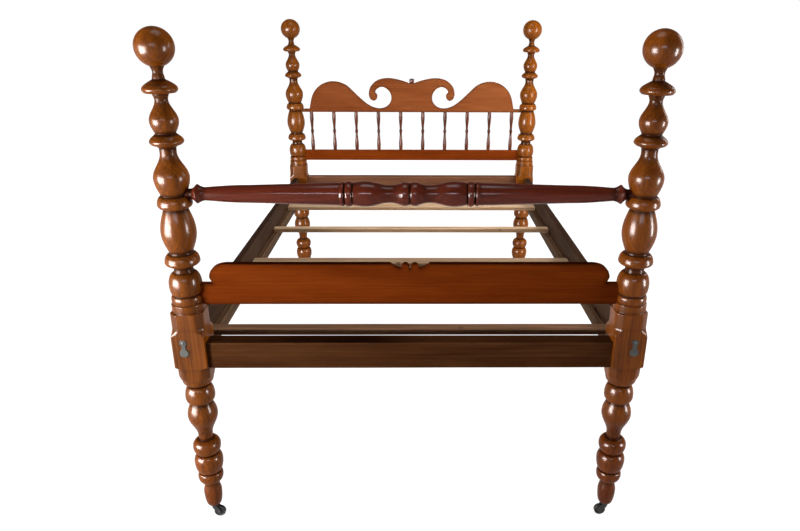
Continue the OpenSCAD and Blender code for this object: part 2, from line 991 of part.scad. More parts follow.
module cover_pins() {
    head_radius = 5;
    head_height = 2;
    head_y = cover_y + cover_thickness + joint_gap;
    color(steel_colour)
        for (side = [-1, 1], end = [-1, 1])
            quarter(side, end)
                translate([side_rail_x, 0, bolt_z + cover_pin_rise]) {
                    rod_y(cover_pin_radius, half_y + half_square - cover_pin_depth + joint_gap, head_y + 1);
                    translate([0, head_y, 0])
                        rotate([-90, 0, 0])
                            rotate_extrude()
                                polygon(concat([[0, 0]], dome(head_radius, head_height)));
                }
}

// Casters
module caster_socket(corner) {
    color(iron_colour)
        quarter(side_of(corner), end_of(corner))
            translate([half_x, half_y, foot_end_height])
                difference() {
                    union() {
                        translate([0, 0, -socket_flange_height])
                            cylinder(h = socket_flange_height, r = socket_flange_radius);
                        translate([0, 0, -1])
                            cylinder(h = socket_length + 1, r = socket_radius);
                    }
                    translate([0, 0, -socket_flange_height - 1])
                        cylinder(h = socket_length + socket_flange_height, r = stem_radius + running_fit);
                }
}

// Stem, crown and two arms that hold the wheel
module caster_horn(corner) {
    crown_radius = 13;
    crown_bottom = horn_top - 7;
    boss_radius = 6;
    inner_y = wheel_width / 2 + arm_gap;
    color(iron_colour)
        quarter(side_of(corner), end_of(corner))
            translate([half_x, half_y, 0]) {
                cylinder_between(stem_radius, horn_top - 1, stem_top);
                cylinder_between(crown_radius, crown_bottom, horn_top);
                for (way = [-1, 1])
                    translate([0, way * (inner_y + arm_thickness / 2), 0])
                        rotate([90, 0, 0])
                            linear_extrude(arm_thickness, center = true)
                                difference() {
                                    union() {
                                        arm_shape(crown_bottom, boss_radius);
                                        translate([-caster_trail, wheel_radius])
                                            circle(r = boss_radius);
                                    }
                                    translate([-caster_trail, wheel_radius])
                                        circle(r = axle_radius + running_fit);
                                }
            }
}

module cylinder_between(radius, bottom, top) {
    translate([0, 0, bottom])
        cylinder(h = top - bottom, r = radius);
}

// An arm sweeps back from the crown to the boss at the axle
module arm_shape(crown_bottom, boss_radius) {
    drop = crown_bottom - wheel_radius;
    front = [
        for (t = [0 : 0.2 : 1])
            [7 - (caster_trail + 7 - boss_radius * 0.8) * run_out("sink", t),
                crown_bottom + 1 - (drop + 1) * t]
    ];
    back = [
        for (t = [0 : 0.2 : 1])
            [-7 - (caster_trail - 7 + boss_radius) * run_out("swell", t),
                crown_bottom + 1 - (drop + 1) * t]
    ];
    polygon(concat(front, reversed(back)));
}

module caster_axle(corner) {
    head_radius = 4.5;
    head_height = 1.5;
    reach = wheel_width / 2 + arm_gap + arm_thickness;
    color(steel_colour)
        quarter(side_of(corner), end_of(corner))
            translate([half_x - caster_trail, half_y, wheel_radius]) {
                rod_y(axle_radius, -reach - 0.5, reach + 0.5);
                for (way = [-1, 1])
                    translate([0, way * reach, 0])
                        rotate([-90 * way, 0, 0])
                            rotate_extrude()
                                polygon(concat([[0, 0]], dome(head_radius, head_height)));
            }
}

module caster_wheel(corner) {
    hub_radius = 8;
    rim_radius = wheel_radius - 4;
    recess = 1.5;
    half_width = wheel_width / 2;
    face = [
        [axle_radius + running_fit, half_width],
        [hub_radius, half_width],
        [hub_radius + 0.5, half_width - recess],
        [rim_radius - 0.5, half_width - recess],
        [rim_radius, half_width],
        [wheel_radius - 2, half_width],
        [wheel_radius - 0.6, half_width - 0.8],
        [wheel_radius, half_width - 2.2]
    ];
    color(iron_colour)
        quarter(side_of(corner), end_of(corner))
            translate([half_x - caster_trail, half_y, wheel_radius])
                rotate([90, 0, 0])
                    rotate_extrude()
                        polygon(concat(face, flipped(face)));
}

foot_post_left();
foot_post_right();
head_post_left();
head_post_right();
foot_rail();
head_rail();
side_rail_left();
side_rail_right();
ledger_left();
ledger_right();
ledger_screws();
slat_foot_end();
slat_foot();
slat_middle();
slat_head();
footboard();
blanket_roll();
headboard_lower_rail();
headboard_crest();
crest_peg();
for (i = [1 : spindle_count])
    spindle(i);
bed_bolts();
bed_nuts();
cover_pins();
for (corner = CORNERS) {
    bolt_cover(corner);
    caster_socket(corner);
    caster_horn(corner);
    caster_axle(corner);
    caster_wheel(corner);
}
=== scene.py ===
"""Looks of the four poster bed with cannonball posts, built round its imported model."""
import math

import bpy
import numpy as np
from bpy.props import FloatProperty, FloatVectorProperty, PointerProperty
from bpy.types import Operator, Panel, PropertyGroup
from mathutils import Matrix, Vector
from mathutils.geometry import delaunay_2d_cdt


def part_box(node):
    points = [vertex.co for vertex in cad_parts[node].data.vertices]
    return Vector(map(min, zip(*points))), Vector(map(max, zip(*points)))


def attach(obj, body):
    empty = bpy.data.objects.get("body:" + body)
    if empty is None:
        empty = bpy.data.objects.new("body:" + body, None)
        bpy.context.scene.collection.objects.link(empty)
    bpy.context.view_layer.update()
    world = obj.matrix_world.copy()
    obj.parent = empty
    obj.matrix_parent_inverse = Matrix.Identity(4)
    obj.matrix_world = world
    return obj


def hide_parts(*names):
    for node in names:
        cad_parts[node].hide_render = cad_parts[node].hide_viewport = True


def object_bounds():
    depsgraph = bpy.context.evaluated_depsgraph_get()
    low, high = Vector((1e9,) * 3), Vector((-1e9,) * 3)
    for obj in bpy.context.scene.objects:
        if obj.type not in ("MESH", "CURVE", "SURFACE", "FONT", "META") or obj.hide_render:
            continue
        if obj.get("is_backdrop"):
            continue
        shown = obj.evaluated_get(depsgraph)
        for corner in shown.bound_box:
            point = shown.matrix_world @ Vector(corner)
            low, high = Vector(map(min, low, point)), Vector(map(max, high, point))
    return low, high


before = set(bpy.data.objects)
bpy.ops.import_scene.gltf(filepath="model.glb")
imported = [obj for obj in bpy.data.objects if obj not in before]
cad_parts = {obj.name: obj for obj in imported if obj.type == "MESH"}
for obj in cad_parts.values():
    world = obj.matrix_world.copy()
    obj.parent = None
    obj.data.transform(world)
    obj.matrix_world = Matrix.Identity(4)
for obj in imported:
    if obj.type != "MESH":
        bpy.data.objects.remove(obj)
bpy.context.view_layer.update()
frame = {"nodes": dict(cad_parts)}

bl_info = {
    "name": "Cannonball four poster bed",
    "version": (1, 0, 0),
    "blender": (4, 5, 0),
    "location": "3D View > Sidebar > Bed",
    "description": "Turned posts, boards, rails, slats and hardware of a four poster bed",
    "category": "Add Mesh",
}

MM = 0.001
CORNERS = ("foot_left", "foot_right", "head_left", "head_right")
SPINDLE_COUNT = sum(name.startswith("spindle_") for name in frame["nodes"])

# Millimetres between the points of an outline, and points to each of its runs
OUTLINE_STEP = 0.25
RUN_STEPS = 40

# Angles through a rounded edge and through a dome
QUARTER = np.linspace(0, math.pi / 2, 5)
DOME = np.linspace(0, math.pi / 2, 24)[1:-1]

# Rows of points along a bar and a post, columns round a wheel, sides of a drilled hole
BAR_ROWS = 64
POST_ROWS = 760
WHEEL_COLUMNS = 64
HOLE_SIDES = 24

# Metres between the points inside a board's face and inside a small plate's
BOARD_NET = 0.008
PLATE_NET = 0.002

# Width, in outline steps, of the bell that a hollow is judged against, on a post and elsewhere,
# and the millimetres at which a hollow and a proud place count in full
POST_BELL = 44
TURNING_BELL = 36
HOLLOW_DEPTH = 5.0
PROUD_HEIGHT = 7

# Waves of a planed bar's two pairs of faces and of a sawn face, in radians per metre
BAR_WAVES = ((5.3, 13.7), (4.1, 11.1))
FACE_WAVES = (9, 21)

# Metres over which the painted dark rim of shade along an edge fades out on a sawn face
EDGE_FADE = 0.004

# Coordinates in the order that brings the named axis third
LENGTHWISE = {"X": (1, 2, 0), "Y": (2, 0, 1), "Z": (0, 1, 2)}

# Turned outlines in millimetres. Each run is its length, the radius it ends with and its form.
LEG_START = 19
LEG_RUNS = (
    (52, 28.5, "round"), (35, 22.5, "ease"), (2, 20, "line"), (26, 39.5, "round"),
    (15, 34, "fall"), (2, 30, "line"), (42, 44.5, "round"), (28, 27.5, "fall"), (29, 43, "round"),
    (25, 21.5, "fall"), (18, 22.5, "ease"), (74, 45.5, "ease"), (46, 31.5, "sink"),
    (21, 44.5, "round"), (40, 28, "fall"), (6, 32, "line"),
)
CUP_START = 33
CUP_RUNS = ((18, 47, "round"), (28, 56, "swell"))
SHAFT_START = 47.5
SHAFT_LENGTH = 689
SHAFT_RUNS = (
    (24, 47, "line"), (2, 43, "line"), (12, 45, "round"), (12, 40, "fall"), (3, 38.5, "line"),
    (29, 46.5, "round"), (38, 28, "fall"), (13, 26.5, "ease"), (7, 28.5, "ease"),
    (12, 49, "round"), (25, 34, "fall"), (6, 33, "line"), (58, 48.5, "swell"), (69, 32.5, "sink"),
    (12, 47.5, "round"), (24, 34, "fall"), (2, 34.2, "line"), (48, 48, "swell"), (69, 22, "ease"),
    (12, 22.5, "line"), (7, 28, "ease"), (2, 38, "line"), (9, 45, "swell"), (19, 29, "sink"),
    (3, 26.5, "line"), (33, 37.8, "swell"), (55, 17.2, "ease"), (15, 21, "ease"), (2, 40, "line"),
    (9, 46, "swell"), (25, 16.5, "sink"), (4, 16, "line"), (13, 13.3, "ease"), (16, 18.5, "sink"),
)
ROLL_START = 29
ROLL_RUNS = (
    (3, 31, "line"), (9, 33, "swell"), (7, 33, "line"), (36, 24, "swell"), (67, 35.3, "ease"),
    (35, 31, "sink"), (1.5, 28, "line"), (1.5, 31, "line"), (9, 35, "round"), (9, 31, "fall"),
    (2.5, 29, "line"), (2, 32, "line"), (5, 34, "round"), (7, 31.6, "ease"),
    (252.484, 24.8, "line"), (118.816, 18.6, "sink"), (22, 27.4, "sink"), (19, 14.5, "swell"),
    (33.5, 14.5, "line"),
)
SPINDLE_START = 9.6
SPINDLE_RUNS = (
    (3, 7.5, "fall"), (1, 6, "line"), (2.5, 8, "round"), (3.5, 6.2, "fall"), (68.5, 10.5, "ease"),
    (28, 9, "sink"),
)
PEG_START = 11
PEG_RUNS = (
    (3, 12, "line"), (8, 13.5, "swell"), (2, 13.5, "line"), (1, 12.5, "line"),
    (1, 13.8, "line"), (3, 13.8, "line"),
)
PEG_HEIGHT = sum(run[0] for run in PEG_RUNS)
PEG_DOME = 6

# Block of a post: half its square, the cut at its corners, and how high each stretch stands
BLOCK_HALF = 48.0
CORNER_CUT = 20.0
LOWER_OCTAGON = 18.0
LOWER_TONGUE = 12.0
SQUARE = 96.0
UPPER_TONGUE = 26.0
UPPER_OCTAGON = 48.0
BALL_RADIUS = 50.47

# A turned radius that stays outside the block, and planes that stay outside the turnings
CLEAR = 75.0
FAR = 500.0

# Shares of the post colours' red, green and blue in each post, painted light and shade for the
# light each post gets, then in its leg and in its foot, darkened as dirt and as painted shade, the
# right leg most, and the heights in metres between which the leg's and the foot's shares come in
POST_LIGHT_SHARES = {"foot_left": (1.0, 1.0, 1.0), "foot_right": (0.98, 0.94, 0.85),
               "head_left": (1.15, 1.2, 1.5), "head_right": (1.25, 1.3, 1.5)}
LEG_DIRT_AND_SHADE_SHARES = dict.fromkeys(CORNERS, (0.97, 0.92, 0.92)) | {"foot_right": (0.74, 0.63, 0.6)}
FOOT_DIRT_AND_SHADE_SHARES = (0.7, 0.6, 0.75)
LEG_HEIGHTS = (0.42, 0.36)
FOOT_HEIGHTS = (0.2, 0.06)

# Colours of each slat and how pale it is painted against them: painted light, paler towards
# the head end
SLATS = {"slat_foot": ("pine", 0.8), "slat_middle": ("pine", 1.2), "slat_head": ("pine", 1.4),
         "slat_foot_end": ("old_pine", 1.0)}

# Sawn outlines in millimetres, from the middle outwards and up from the board's bottom edge
SCROLL_TOP = (
    (15, 157.5), (50, 169.5), (89, 179), (127, 183.5), (166, 180), (200, 165.5), (228, 137),
    (237, 106), (236, 89), (229, 72), (213, 62.5), (197, 69), (190.5, 85), (194, 98), (202.5, 106),
)
THROAT_AND_ARCH = (
    (202.5, 106), (199, 118), (185, 131), (164, 137.5), (139, 128), (119.5, 106), (113, 79),
    (119.5, 52), (139, 31), (162, 21.5), (189, 20), (224, 30), (256, 50), (289, 78),
    (324.5, 112), (357, 142), (389.5, 158), (418, 164.5), (447, 165), (471, 160), (503, 146),
    (532, 120), (550, 89.5), (560.5, 55), (566.5, 27), (569, 16.5),
)
FOOTBOARD_EAR = (
    (571, 64), (578, 78.5), (580, 88.5), (573, 106.5), (558, 119), (538, 124.7), (523, 125.5),
)

# Crest: half the flat under the peg, the strip beyond each arch with its height, and the length
# that is left beyond the arch
CREST_FLAT = 14
STRIP_START = 579
STRIP_HEIGHT = 16.5
CREST_SHOULDER = 58.0

# Footboard: the small scroll's lobe with its centre measured from the middle of the top edge, the
# notch between the two lobes, the rise from the lobe, the straight top and the ledge under the ear
LOBE_CENTRE = (13.5, -12.5)
LOBE_RADIUS = 12.5
LOBE_SWEEP = (201.1, -6.5)
NOTCH_DEPTH = 17
RISE_START = 26
RISE_LENGTH = 32
RISE_DEPTH = 14
TOP_EDGE = (75, 508)
LEDGE_START = 579
LEDGE_HEIGHT = 64

# Bolt cover: radius of its upper disc, width of its neck and radius of its pin hole
COVER_TOP = 10
COVER_NECK = 12
COVER_HOLE = 2.8

# Caster: the horn's crown and stem, its two arms, the axle with its heads, and the wheel
CROWN_HEIGHT = 7
CROWN_START = 11
CROWN_RUNS = ((1.5, 13, "swell"), (4, 13, "line"), (1.5, 11, "sink"), (0.01, 5, "line"))
STEM_RADIUS = 5
ARM_THICKNESS = 3.5
ARM_GAP = 0.5
ARM_HALF_WIDTH = 7
BOSS_RADIUS = 6
AXLE_HOLE = 3.2
AXLE_RADIUS = 3
AXLE_HEAD = 4.5
HUB_RADIUS = 8
WEB_DEPTH = 1.5

# Camera: its place in metres, how far it looks down and aside and leans in degrees, and its shift
CAMERA_PLACE = (0.0098, -2.7859, 1.5799)
CAMERA_TURNS = (21.01, 0.742, 0.277)
CAMERA_SHIFT = (-0.0268, 0.0015)
FLOOR_HALF = 30.0


def colour(code):
    """Linear colour of a hexadecimal screen colour."""
    parts = [int(code[i:i + 2], 16) / 255 for i in (0, 2, 4)]
    return tuple(p / 12.92 if p <= 0.04045 else ((p + 0.055) / 1.055) ** 2.4 for p in parts)


def shade(code, name, text):
    """A colour property with its default."""
    return FloatVectorProperty(
        name=name, description=text, default=colour(code), size=3, min=0, max=1, subtype="COLOR")


def length(value, name, text, low=0.0, high=1.0):
    """A length property in metres with its default."""
    return FloatProperty(
        name=name, description=text, default=value, min=low, max=high, unit="LENGTH", precision=4)


def watts(value, name, text):
    """A lamp's power property in watts with its default."""
    return FloatProperty(
        name=name, description=text, default=value, min=0, max=5000, unit="POWER")


class BedSizes(PropertyGroup):
    """Small sizes of the finish, in metres."""

    arris: length(1.3 * MM, "Block edges", "Rounding of the edges of a post's block", 0.0003, 0.004)
    turning_ease: length(
        0.7 * MM, "Turned edges", "Softening of the edges of a turned outline", 0, 0.003)
    board_edge: length(1.5 * MM, "Board edges", "Rounding of a sawn board's edges", 0.0005, 0.004)
    bar_edge: length(2.2 * MM, "Rail edges", "Rounding of the edges of rails and slats", 0.0005, 0.005)
    wander: length(0.5 * MM, "Hand planing", "How far a planed face wanders from flat", 0, 0.002)
    shoulder_gap: length(0.4 * MM, "Shoulder gap", "Dark line between a rail and its post", 0, 0.002)


class BedFinish(PropertyGroup):
    """Colours of the woods and the metals, and of the dark finish that pores, knots and hollows
    take, which also paints shade in hollows and along some edges.
    """

    post_light: shade("9A5410", "Post light", "Light figure of the posts")
    post_dark: shade("4B2405", "Post dark", "Dark figure of the posts")
    # This dark colour marks pores and knots, finish left in hollows, and painted shade in hollows and
    # along some board edges
    glaze: shade("2A1107", "Glaze", "Dark glaze left in grooves and necks")
    board_light: shade("8A3D10", "Board light", "Light figure of the boards")
    board_dark: shade("551E05", "Board dark", "Dark figure of the boards")
    spindle_light: shade("74371A", "Spindle light", "Light figure of the spindles")
    spindle_dark: shade("3A1709", "Spindle dark", "Dark figure of the spindles")
    crest_light: shade("94522C", "Crest light", "Light figure of the headboard")
    crest_dark: shade("6C3114", "Crest dark", "Dark figure of the headboard")
    rail_light: shade("5B371E", "Rail light", "Light figure of the rails")
    rail_dark: shade("2F160A", "Rail dark", "Dark figure of the rails")
    side_rail_light: shade("5E4534", "Side rail light", "Light figure of the side rails")
    side_rail_dark: shade("33241B", "Side rail dark", "Dark figure of the side rails")
    ledger_light: shade("76573F", "Ledger light", "Light figure of the ledgers")
    ledger_dark: shade("45301F", "Ledger dark", "Dark figure of the ledgers")
    head_rail_light: shade("8A5B42", "Head rail light", "Light figure of the head rail")
    head_rail_dark: shade("5A3826", "Head rail dark", "Dark figure of the head rail")
    roll_light: shade("74301D", "Roll light", "Light figure of the blanket roll")
    roll_dark: shade("35120B", "Roll dark", "Dark figure of the blanket roll")
    pine_light: shade("D8B896", "Pine light", "Light figure of the slats")
    pine_dark: shade("A67C58", "Pine dark", "Dark figure of the slats")
    old_pine_light: shade("A27A5B", "Old pine light", "Light figure of the foot end slat")
    old_pine_dark: shade("5E3E2A", "Old pine dark", "Dark figure of the foot end slat")
    iron: shade("1A1816", "Iron", "Caster iron")
    steel: shade("4B4741", "Steel", "Bolts, pins and screws")
    cover: shade("3A3A34", "Bolt cover", "Tarnished metal of the bolt covers")


class BedStage(PropertyGroup):
    """Camera, lamps and floor."""

    lens: FloatProperty(
        name="Lens", description="Focal length in millimetres", default=29.74, min=10, max=200)
    lamp_power: watts(118, "Lamp power", "Power of the left lamp, of which the right lamp has a share")
    gleam_power: watts(520, "Gleam power", "Power of which each lamp seen only in gloss has a share")
    top_power: watts(60, "Top power", "Power of the top lamp")
    head_power: watts(34, "Head power", "Power of the lamp on the headboard")
    back_power: watts(110, "Back power", "Power of the lamp behind the head end")
    fill: FloatProperty(
        name="Fill", description="Strength of the room light", default=0.10, min=0, max=2)
    floor: shade("808080", "Floor", "Colour of the floor")


# Outlines

def along(form, t):
    """Share of a run's length passed at t: 1 - cos 90t, sin 90t or t itself."""
    quarter = t * math.pi / 2
    return {"round": 1 - np.cos(quarter), "fall": np.sin(quarter)}.get(form, t)


def out(form, t):
    """Share of a run's change of radius at t: t, an eased S, sin 90t or 1 - cos 90t."""
    quarter = t * math.pi / 2
    shares = {"line": t, "ease": (1 - np.cos(2 * quarter)) / 2}
    shares["round"] = shares["swell"] = np.sin(quarter)
    shares["fall"] = shares["sink"] = 1 - np.cos(quarter)
    return shares[form]


def turned(runs, start, bottom=0.0):
    """Radii and heights up a turned outline: each run adds its length times along(t) to the
    height while the radius goes from r0 to r1 as r0 + (r1 - r0) * out(t)."""
    radii, heights = [np.array([start], float)], [np.array([bottom], float)]
    low, radius = bottom, start
    t = np.linspace(0, 1, RUN_STEPS + 1)[1:]
    for run_length, end, form in runs:
        radii.append(radius + (end - radius) * out(form, t))
        heights.append(low + run_length * along(form, t))
        low, radius = low + run_length, end
    return np.concatenate(radii), np.concatenate(heights)


def stretched(runs, whole):
    """The same runs with their lengths scaled to add up to whole."""
    scale = whole / sum(run[0] for run in runs)
    return [(run[0] * scale, *run[1:]) for run in runs]


def straight(start, end, count):
    """Points at even steps on a straight line."""
    return np.stack([np.linspace(a, b, count) for a, b in zip(start, end)], 1)


def arc(centre, radius, angles):
    """Points (x + r cos a, y + r sin a). The radius may be one number, or one for each axis."""
    return np.stack([np.cos(angles), np.sin(angles)], 1) * radius + centre


def blurred(values, width):
    """Values along a line averaged with a bell of that width, in samples, ends held."""
    if width <= 0:
        return values
    reach = int(4 * width) + 1
    bell = np.exp(-0.5 * (np.arange(-reach, reach + 1) / width) ** 2)
    pad = [(reach, reach)] + [(0, 0)] * (values.ndim - 1)
    held = np.pad(values, pad, mode="edge").reshape(len(values) + 2 * reach, -1)
    mixed = [np.convolve(column, bell / bell.sum(), mode="valid") for column in held.T]
    return np.stack(mixed, 1).reshape(values.shape)


def even_steps(points, step):
    """Points along a line resampled at an even distance of about step."""
    lengths = np.hypot(*np.diff(points[:, :2], axis=0).T)
    passed = np.concatenate([[0], np.cumsum(lengths)])
    places = np.linspace(0, passed[-1], int(passed[-1] / step) + 2)
    return np.stack([np.interp(places, passed, column) for column in points.T], 1)


def chosen_rows(points, count):
    """Indices of count points of an even line, crowded where the line turns: the spacing falls
    as 1 / (1 + 60 k / (1 + 4 k)), k being the turn in radians per millimetre."""
    slope = np.unwrap(np.arctan2(*np.gradient(points[:, :2], axis=0).T))
    turn = blurred(np.abs(np.gradient(slope)), 3) / OUTLINE_STEP
    weight = np.cumsum(1 + 60 * turn / (1 + 4 * turn))
    share = (weight - weight[0]) / (weight[-1] - weight[0])
    places = np.interp(np.linspace(0, 1, count), share, np.arange(len(share)))
    return np.unique(places.round().astype(int))


def curve_through(points, steps):
    """Catmull-Rom curve through points: each stretch is the cubic whose end slopes are half the
    distance between the neighbours."""
    p = np.asarray(points, float)
    a, b, c, d = np.vstack([p[:1], p[:-2]]), p[:-1], p[1:], np.vstack([p[2:], p[-1:]])
    t = (np.arange(steps) / steps)[None, :, None]
    a, b, c, d = (q[:, None, :] for q in (a, b, c, d))
    curve = (2 * b + (c - a) * t + (2 * a - 5 * b + 4 * c - d) * t ** 2
             + (3 * b - a - 3 * c + d) * t ** 3) / 2
    return np.vstack([curve.reshape(-1, 2), p[-1:]])


# Meshes

def piece(name, points, faces, body, node, slot, sharp, attributes=None):
    """A mesh object from points in metres and lists of corners, riding on a body in place of a
    CAD node. Edges sharper than that many degrees stay sharp."""
    mesh = bpy.data.meshes.new(name)
    mesh.from_pydata(np.asarray(points, float).tolist(), [], faces)
    for key, values in (attributes or {}).items():
        data = mesh.attributes.new(key, "FLOAT", "POINT").data
        data.foreach_set("value", np.asarray(values, np.float32).ravel())
    mesh.shade_smooth()
    mesh.set_sharp_from_angle(angle=math.radians(sharp))
    mesh.update()
    made = bpy.data.objects.new(name, mesh)
    bpy.context.scene.collection.objects.link(made)
    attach(made, body)
    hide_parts(node)
    return made


def quads(index):
    """Corners of the quads between the rows of a grid of indices that goes round in its columns."""
    right = np.roll(index, -1, 1)
    return np.stack([index[:-1], right[:-1], right[1:], index[1:]], -1).reshape(-1, 4)


def skin(name, grid, axis, centre, values, body, **settings):
    """A piece from a grid of points about Z that goes round in its columns, closed with a fan to
    a pole at each end, laid along the axis, with values for each row or each point."""
    rows, columns = grid.shape[:2]
    index = np.arange(rows * columns).reshape(rows, columns)
    right = np.roll(index, -1, 1)
    low = np.stack([np.full(columns, rows * columns), right[0], index[0]], 1)
    high = np.stack([np.full(columns, rows * columns + 1), index[-1], right[-1]], 1)
    points = np.concatenate([grid.reshape(-1, 3), [grid[0].mean(0), grid[-1].mean(0)]])
    attributes = {}
    for key, value in values.items():
        value = np.ones((rows, columns)) * value
        attributes[key] = np.concatenate([value.ravel(), [value[0].mean(), value[-1].mean()]])
    return piece(name, laid(points, axis) + np.asarray(centre),
                 quads(index).tolist() + low.tolist() + high.tolist(), body,
                 attributes=attributes, **settings)


def laid(points, axis):
    """Points about Z turned to lie about X or Y by passing the coordinates round."""
    return points[..., np.argsort(LENGTHWISE[axis])]


def carried_round(radius, height, angles):
    """Grid of (r cos a, r sin a, z) in metres, from radii and heights in millimetres."""
    return np.stack(np.broadcast_arrays(
        radius * np.cos(angles), radius * np.sin(angles), height), -1) * MM


def hollows(radii, width, full):
    """How deep a point lies in a neck or groove, and how far it stands proud, each 0 to 1: the
    outline's radius beside its own average over a bell of that width, in outline steps. Full is
    the depth of a full hollow in millimetres."""
    depth = blurred(radii, width) - radii
    return np.clip(depth / full, 0, 1), np.clip(-depth / PROUD_HEIGHT, 0, 1)


def turned_piece(name, runs, start, centre, axis, body, rows, columns=48, dome=None,
                 mirrored=False, ease=None, groove=HOLLOW_DEPTH, **settings):
    """A lathe surface: radius r(s) and height z(s) along a turned outline, carried round the
    axis as (r cos a, r sin a, z). Mirrored outlines run from one end through the middle."""
    ease = bpy.context.scene.bed_sizes.turning_ease / MM if ease is None else ease
    line = np.stack(turned(runs, start), 1)
    if mirrored:
        line = np.vstack([line[::-1] * (1, -1), line[1:]])
    if dome:
        line = np.vstack([line, arc((0, line[-1, 1]), (line[-1, 0], dome), DOME)])
    line = blurred(even_steps(line, OUTLINE_STEP), ease / OUTLINE_STEP)
    hollow, proud = hollows(line[:, 0], TURNING_BELL, groove)
    kept = chosen_rows(line, rows)
    angles = np.linspace(0, 2 * math.pi, columns, endpoint=False)
    grid = carried_round(line[kept, :1], line[kept, 1:], angles)
    return skin(name, grid, axis, centre, {"hollow": hollow[kept, None], "proud": proud[kept, None]},
                body, sharp=55, **settings)


def post_columns():
    """Angles round a post in one eighth turn, crowded at the edge of the octagon and the corner
    of the square, then folded out to the whole turn."""
    eighth = np.array([0, 6, 12, 17, 20, 21.7, 22.5, 23.3, 25, 29, 34, 39, 42.6, 44.2, 45])
    quarter = np.concatenate([eighth, 90 - eighth[-2:0:-1]])
    return np.radians(np.concatenate([quarter + turn for turn in (0, 90, 180, 270)]))


def post_outline():
    """Rows up a post as (turned radius, height, distance of the square's faces, distance of the
    diagonal planes). The planes stand at the corner cut and ease out to the corner of the square
    over a tongue; the cup rises from the leg."""
    leg = np.stack(turned(LEG_RUNS, LEG_START), 1)
    corner = BLOCK_HALF * math.sqrt(2) + 1
    cut = (2 * BLOCK_HALF - CORNER_CUT) / math.sqrt(2)
    cup = np.stack(turned(CUP_RUNS, CUP_START, leg[-1, 1]), 1)
    low = cup[-1, 1] + LOWER_OCTAGON
    high = low + LOWER_TONGUE + SQUARE
    top = high + UPPER_TONGUE + UPPER_OCTAGON
    t = np.linspace(0, 1, 60)
    heights = np.concatenate([cup[:, 1], low + LOWER_TONGUE * t, high + UPPER_TONGUE * t, [top]])
    swing = (1 - np.cos(t * math.pi)) / 2
    reach = np.concatenate([
        np.full(len(cup), cut), cut + (corner - cut) * swing, corner + (cut - corner) * swing, [cut]])
    radii = np.concatenate([cup[:, 0], np.full(len(heights) - len(cup), CLEAR)])
    block = np.stack([radii, heights, np.full(len(heights), BLOCK_HALF), reach], 1)
    block = np.vstack([block, [(SHAFT_START, top, BLOCK_HALF, cut)]])
    shaft = np.stack(turned(stretched(SHAFT_RUNS, SHAFT_LENGTH), SHAFT_START, top), 1)
    neck = shaft[-1, 0]
    rise = math.sqrt(BALL_RADIUS ** 2 - neck ** 2)
    angles = np.linspace(-math.acos(neck / BALL_RADIUS), math.pi / 2, 260)[1:-2]
    plain = np.vstack([leg, shaft, arc((0, shaft[-1, 1] + rise), BALL_RADIUS, angles)])
    plain = np.hstack([plain, np.full((len(plain), 2), FAR)])
    return np.vstack([plain[:len(leg)], block, plain[len(leg):]])


def post_piece(name, centre, node, sizes):
    """A post as r(a, z): the least of the turned radius, the square's faces d / cos(a) and the
    diagonal planes e / cos(a - 45), blended by -log(sum(exp(-k r))) / k so that edges round."""
    rows = post_outline()
    size = np.minimum(rows[:, 0], SHAFT_START)
    strides = np.hypot(np.diff(size), np.diff(rows[:, 1]))
    walk = np.concatenate([[0], np.cumsum(np.maximum(strides, 1e-6))])
    places = np.arange(0, walk[-1], OUTLINE_STEP)
    lathe, heights, face, diagonal = (
        np.interp(places, walk, column)[:, None] for column in rows.T)
    angles = post_columns()
    fold = np.abs((angles + math.pi / 4) % (math.pi / 2) - math.pi / 4)
    kinds, inverse = np.unique(fold.round(6), return_inverse=True)
    sharpness = 1.1 / (sizes.arris / MM)
    reaches = np.stack(np.broadcast_arrays(
        lathe, face / np.cos(kinds), diagonal / np.cos(math.pi / 4 - kinds)))
    least = reaches.min(0)
    radius = -np.log(np.exp(-sharpness * (reaches - least)).sum(0)) / sharpness + least
    ease = sizes.turning_ease / MM / OUTLINE_STEP
    radius, heights = blurred(radius, ease), blurred(heights, ease)
    mean = radius.mean(1)
    hollow, proud = hollows(mean, POST_BELL, HOLLOW_DEPTH)
    kept = chosen_rows(np.column_stack([mean, heights]), POST_ROWS)
    radius = radius[kept][:, inverse]
    # The block's corners count as proud, so that they are lightened as a painted highlight
    edge = np.clip((radius - BLOCK_HALF) / (BLOCK_HALF * (math.sqrt(2) - 1)), 0, 1)
    values = {"hollow": hollow[kept, None], "proud": np.maximum(proud[kept, None], edge ** 3)}
    return skin(name, carried_round(radius, heights[kept], angles), "Z", centre, values, "frame",
                node=node, slot="post_wood", sharp=60)


def bar_section(low, high, edge):
    """Points round a rectangle with quarter-round corners, anticlockwise, with how near each is
    to a corner."""
    places = ((high[0], low[1]), (high[0], high[1]), (low[0], high[1]), (low[0], low[1]))
    corners = []
    for quarter, (x, y) in enumerate(places, -1):
        centre = (x - edge if x == high[0] else x + edge, y - edge if y == high[1] else y + edge)
        corners.append(arc(centre, edge, QUARTER + quarter * math.pi / 2))
    section, near = [], []
    for corner, following in zip(corners, corners[1:] + corners[:1]):
        start, end = corner[-1], following[0]
        span = np.linalg.norm(end - start)
        inset = min(5 * MM, span / 3) / span
        between = np.array([inset, 0.5, 1 - inset])[:, None]
        section += [corner, start + (end - start) * between]
        near += [np.ones(len(corner)), np.zeros(len(between))]
    return np.concatenate(section), np.concatenate(near)


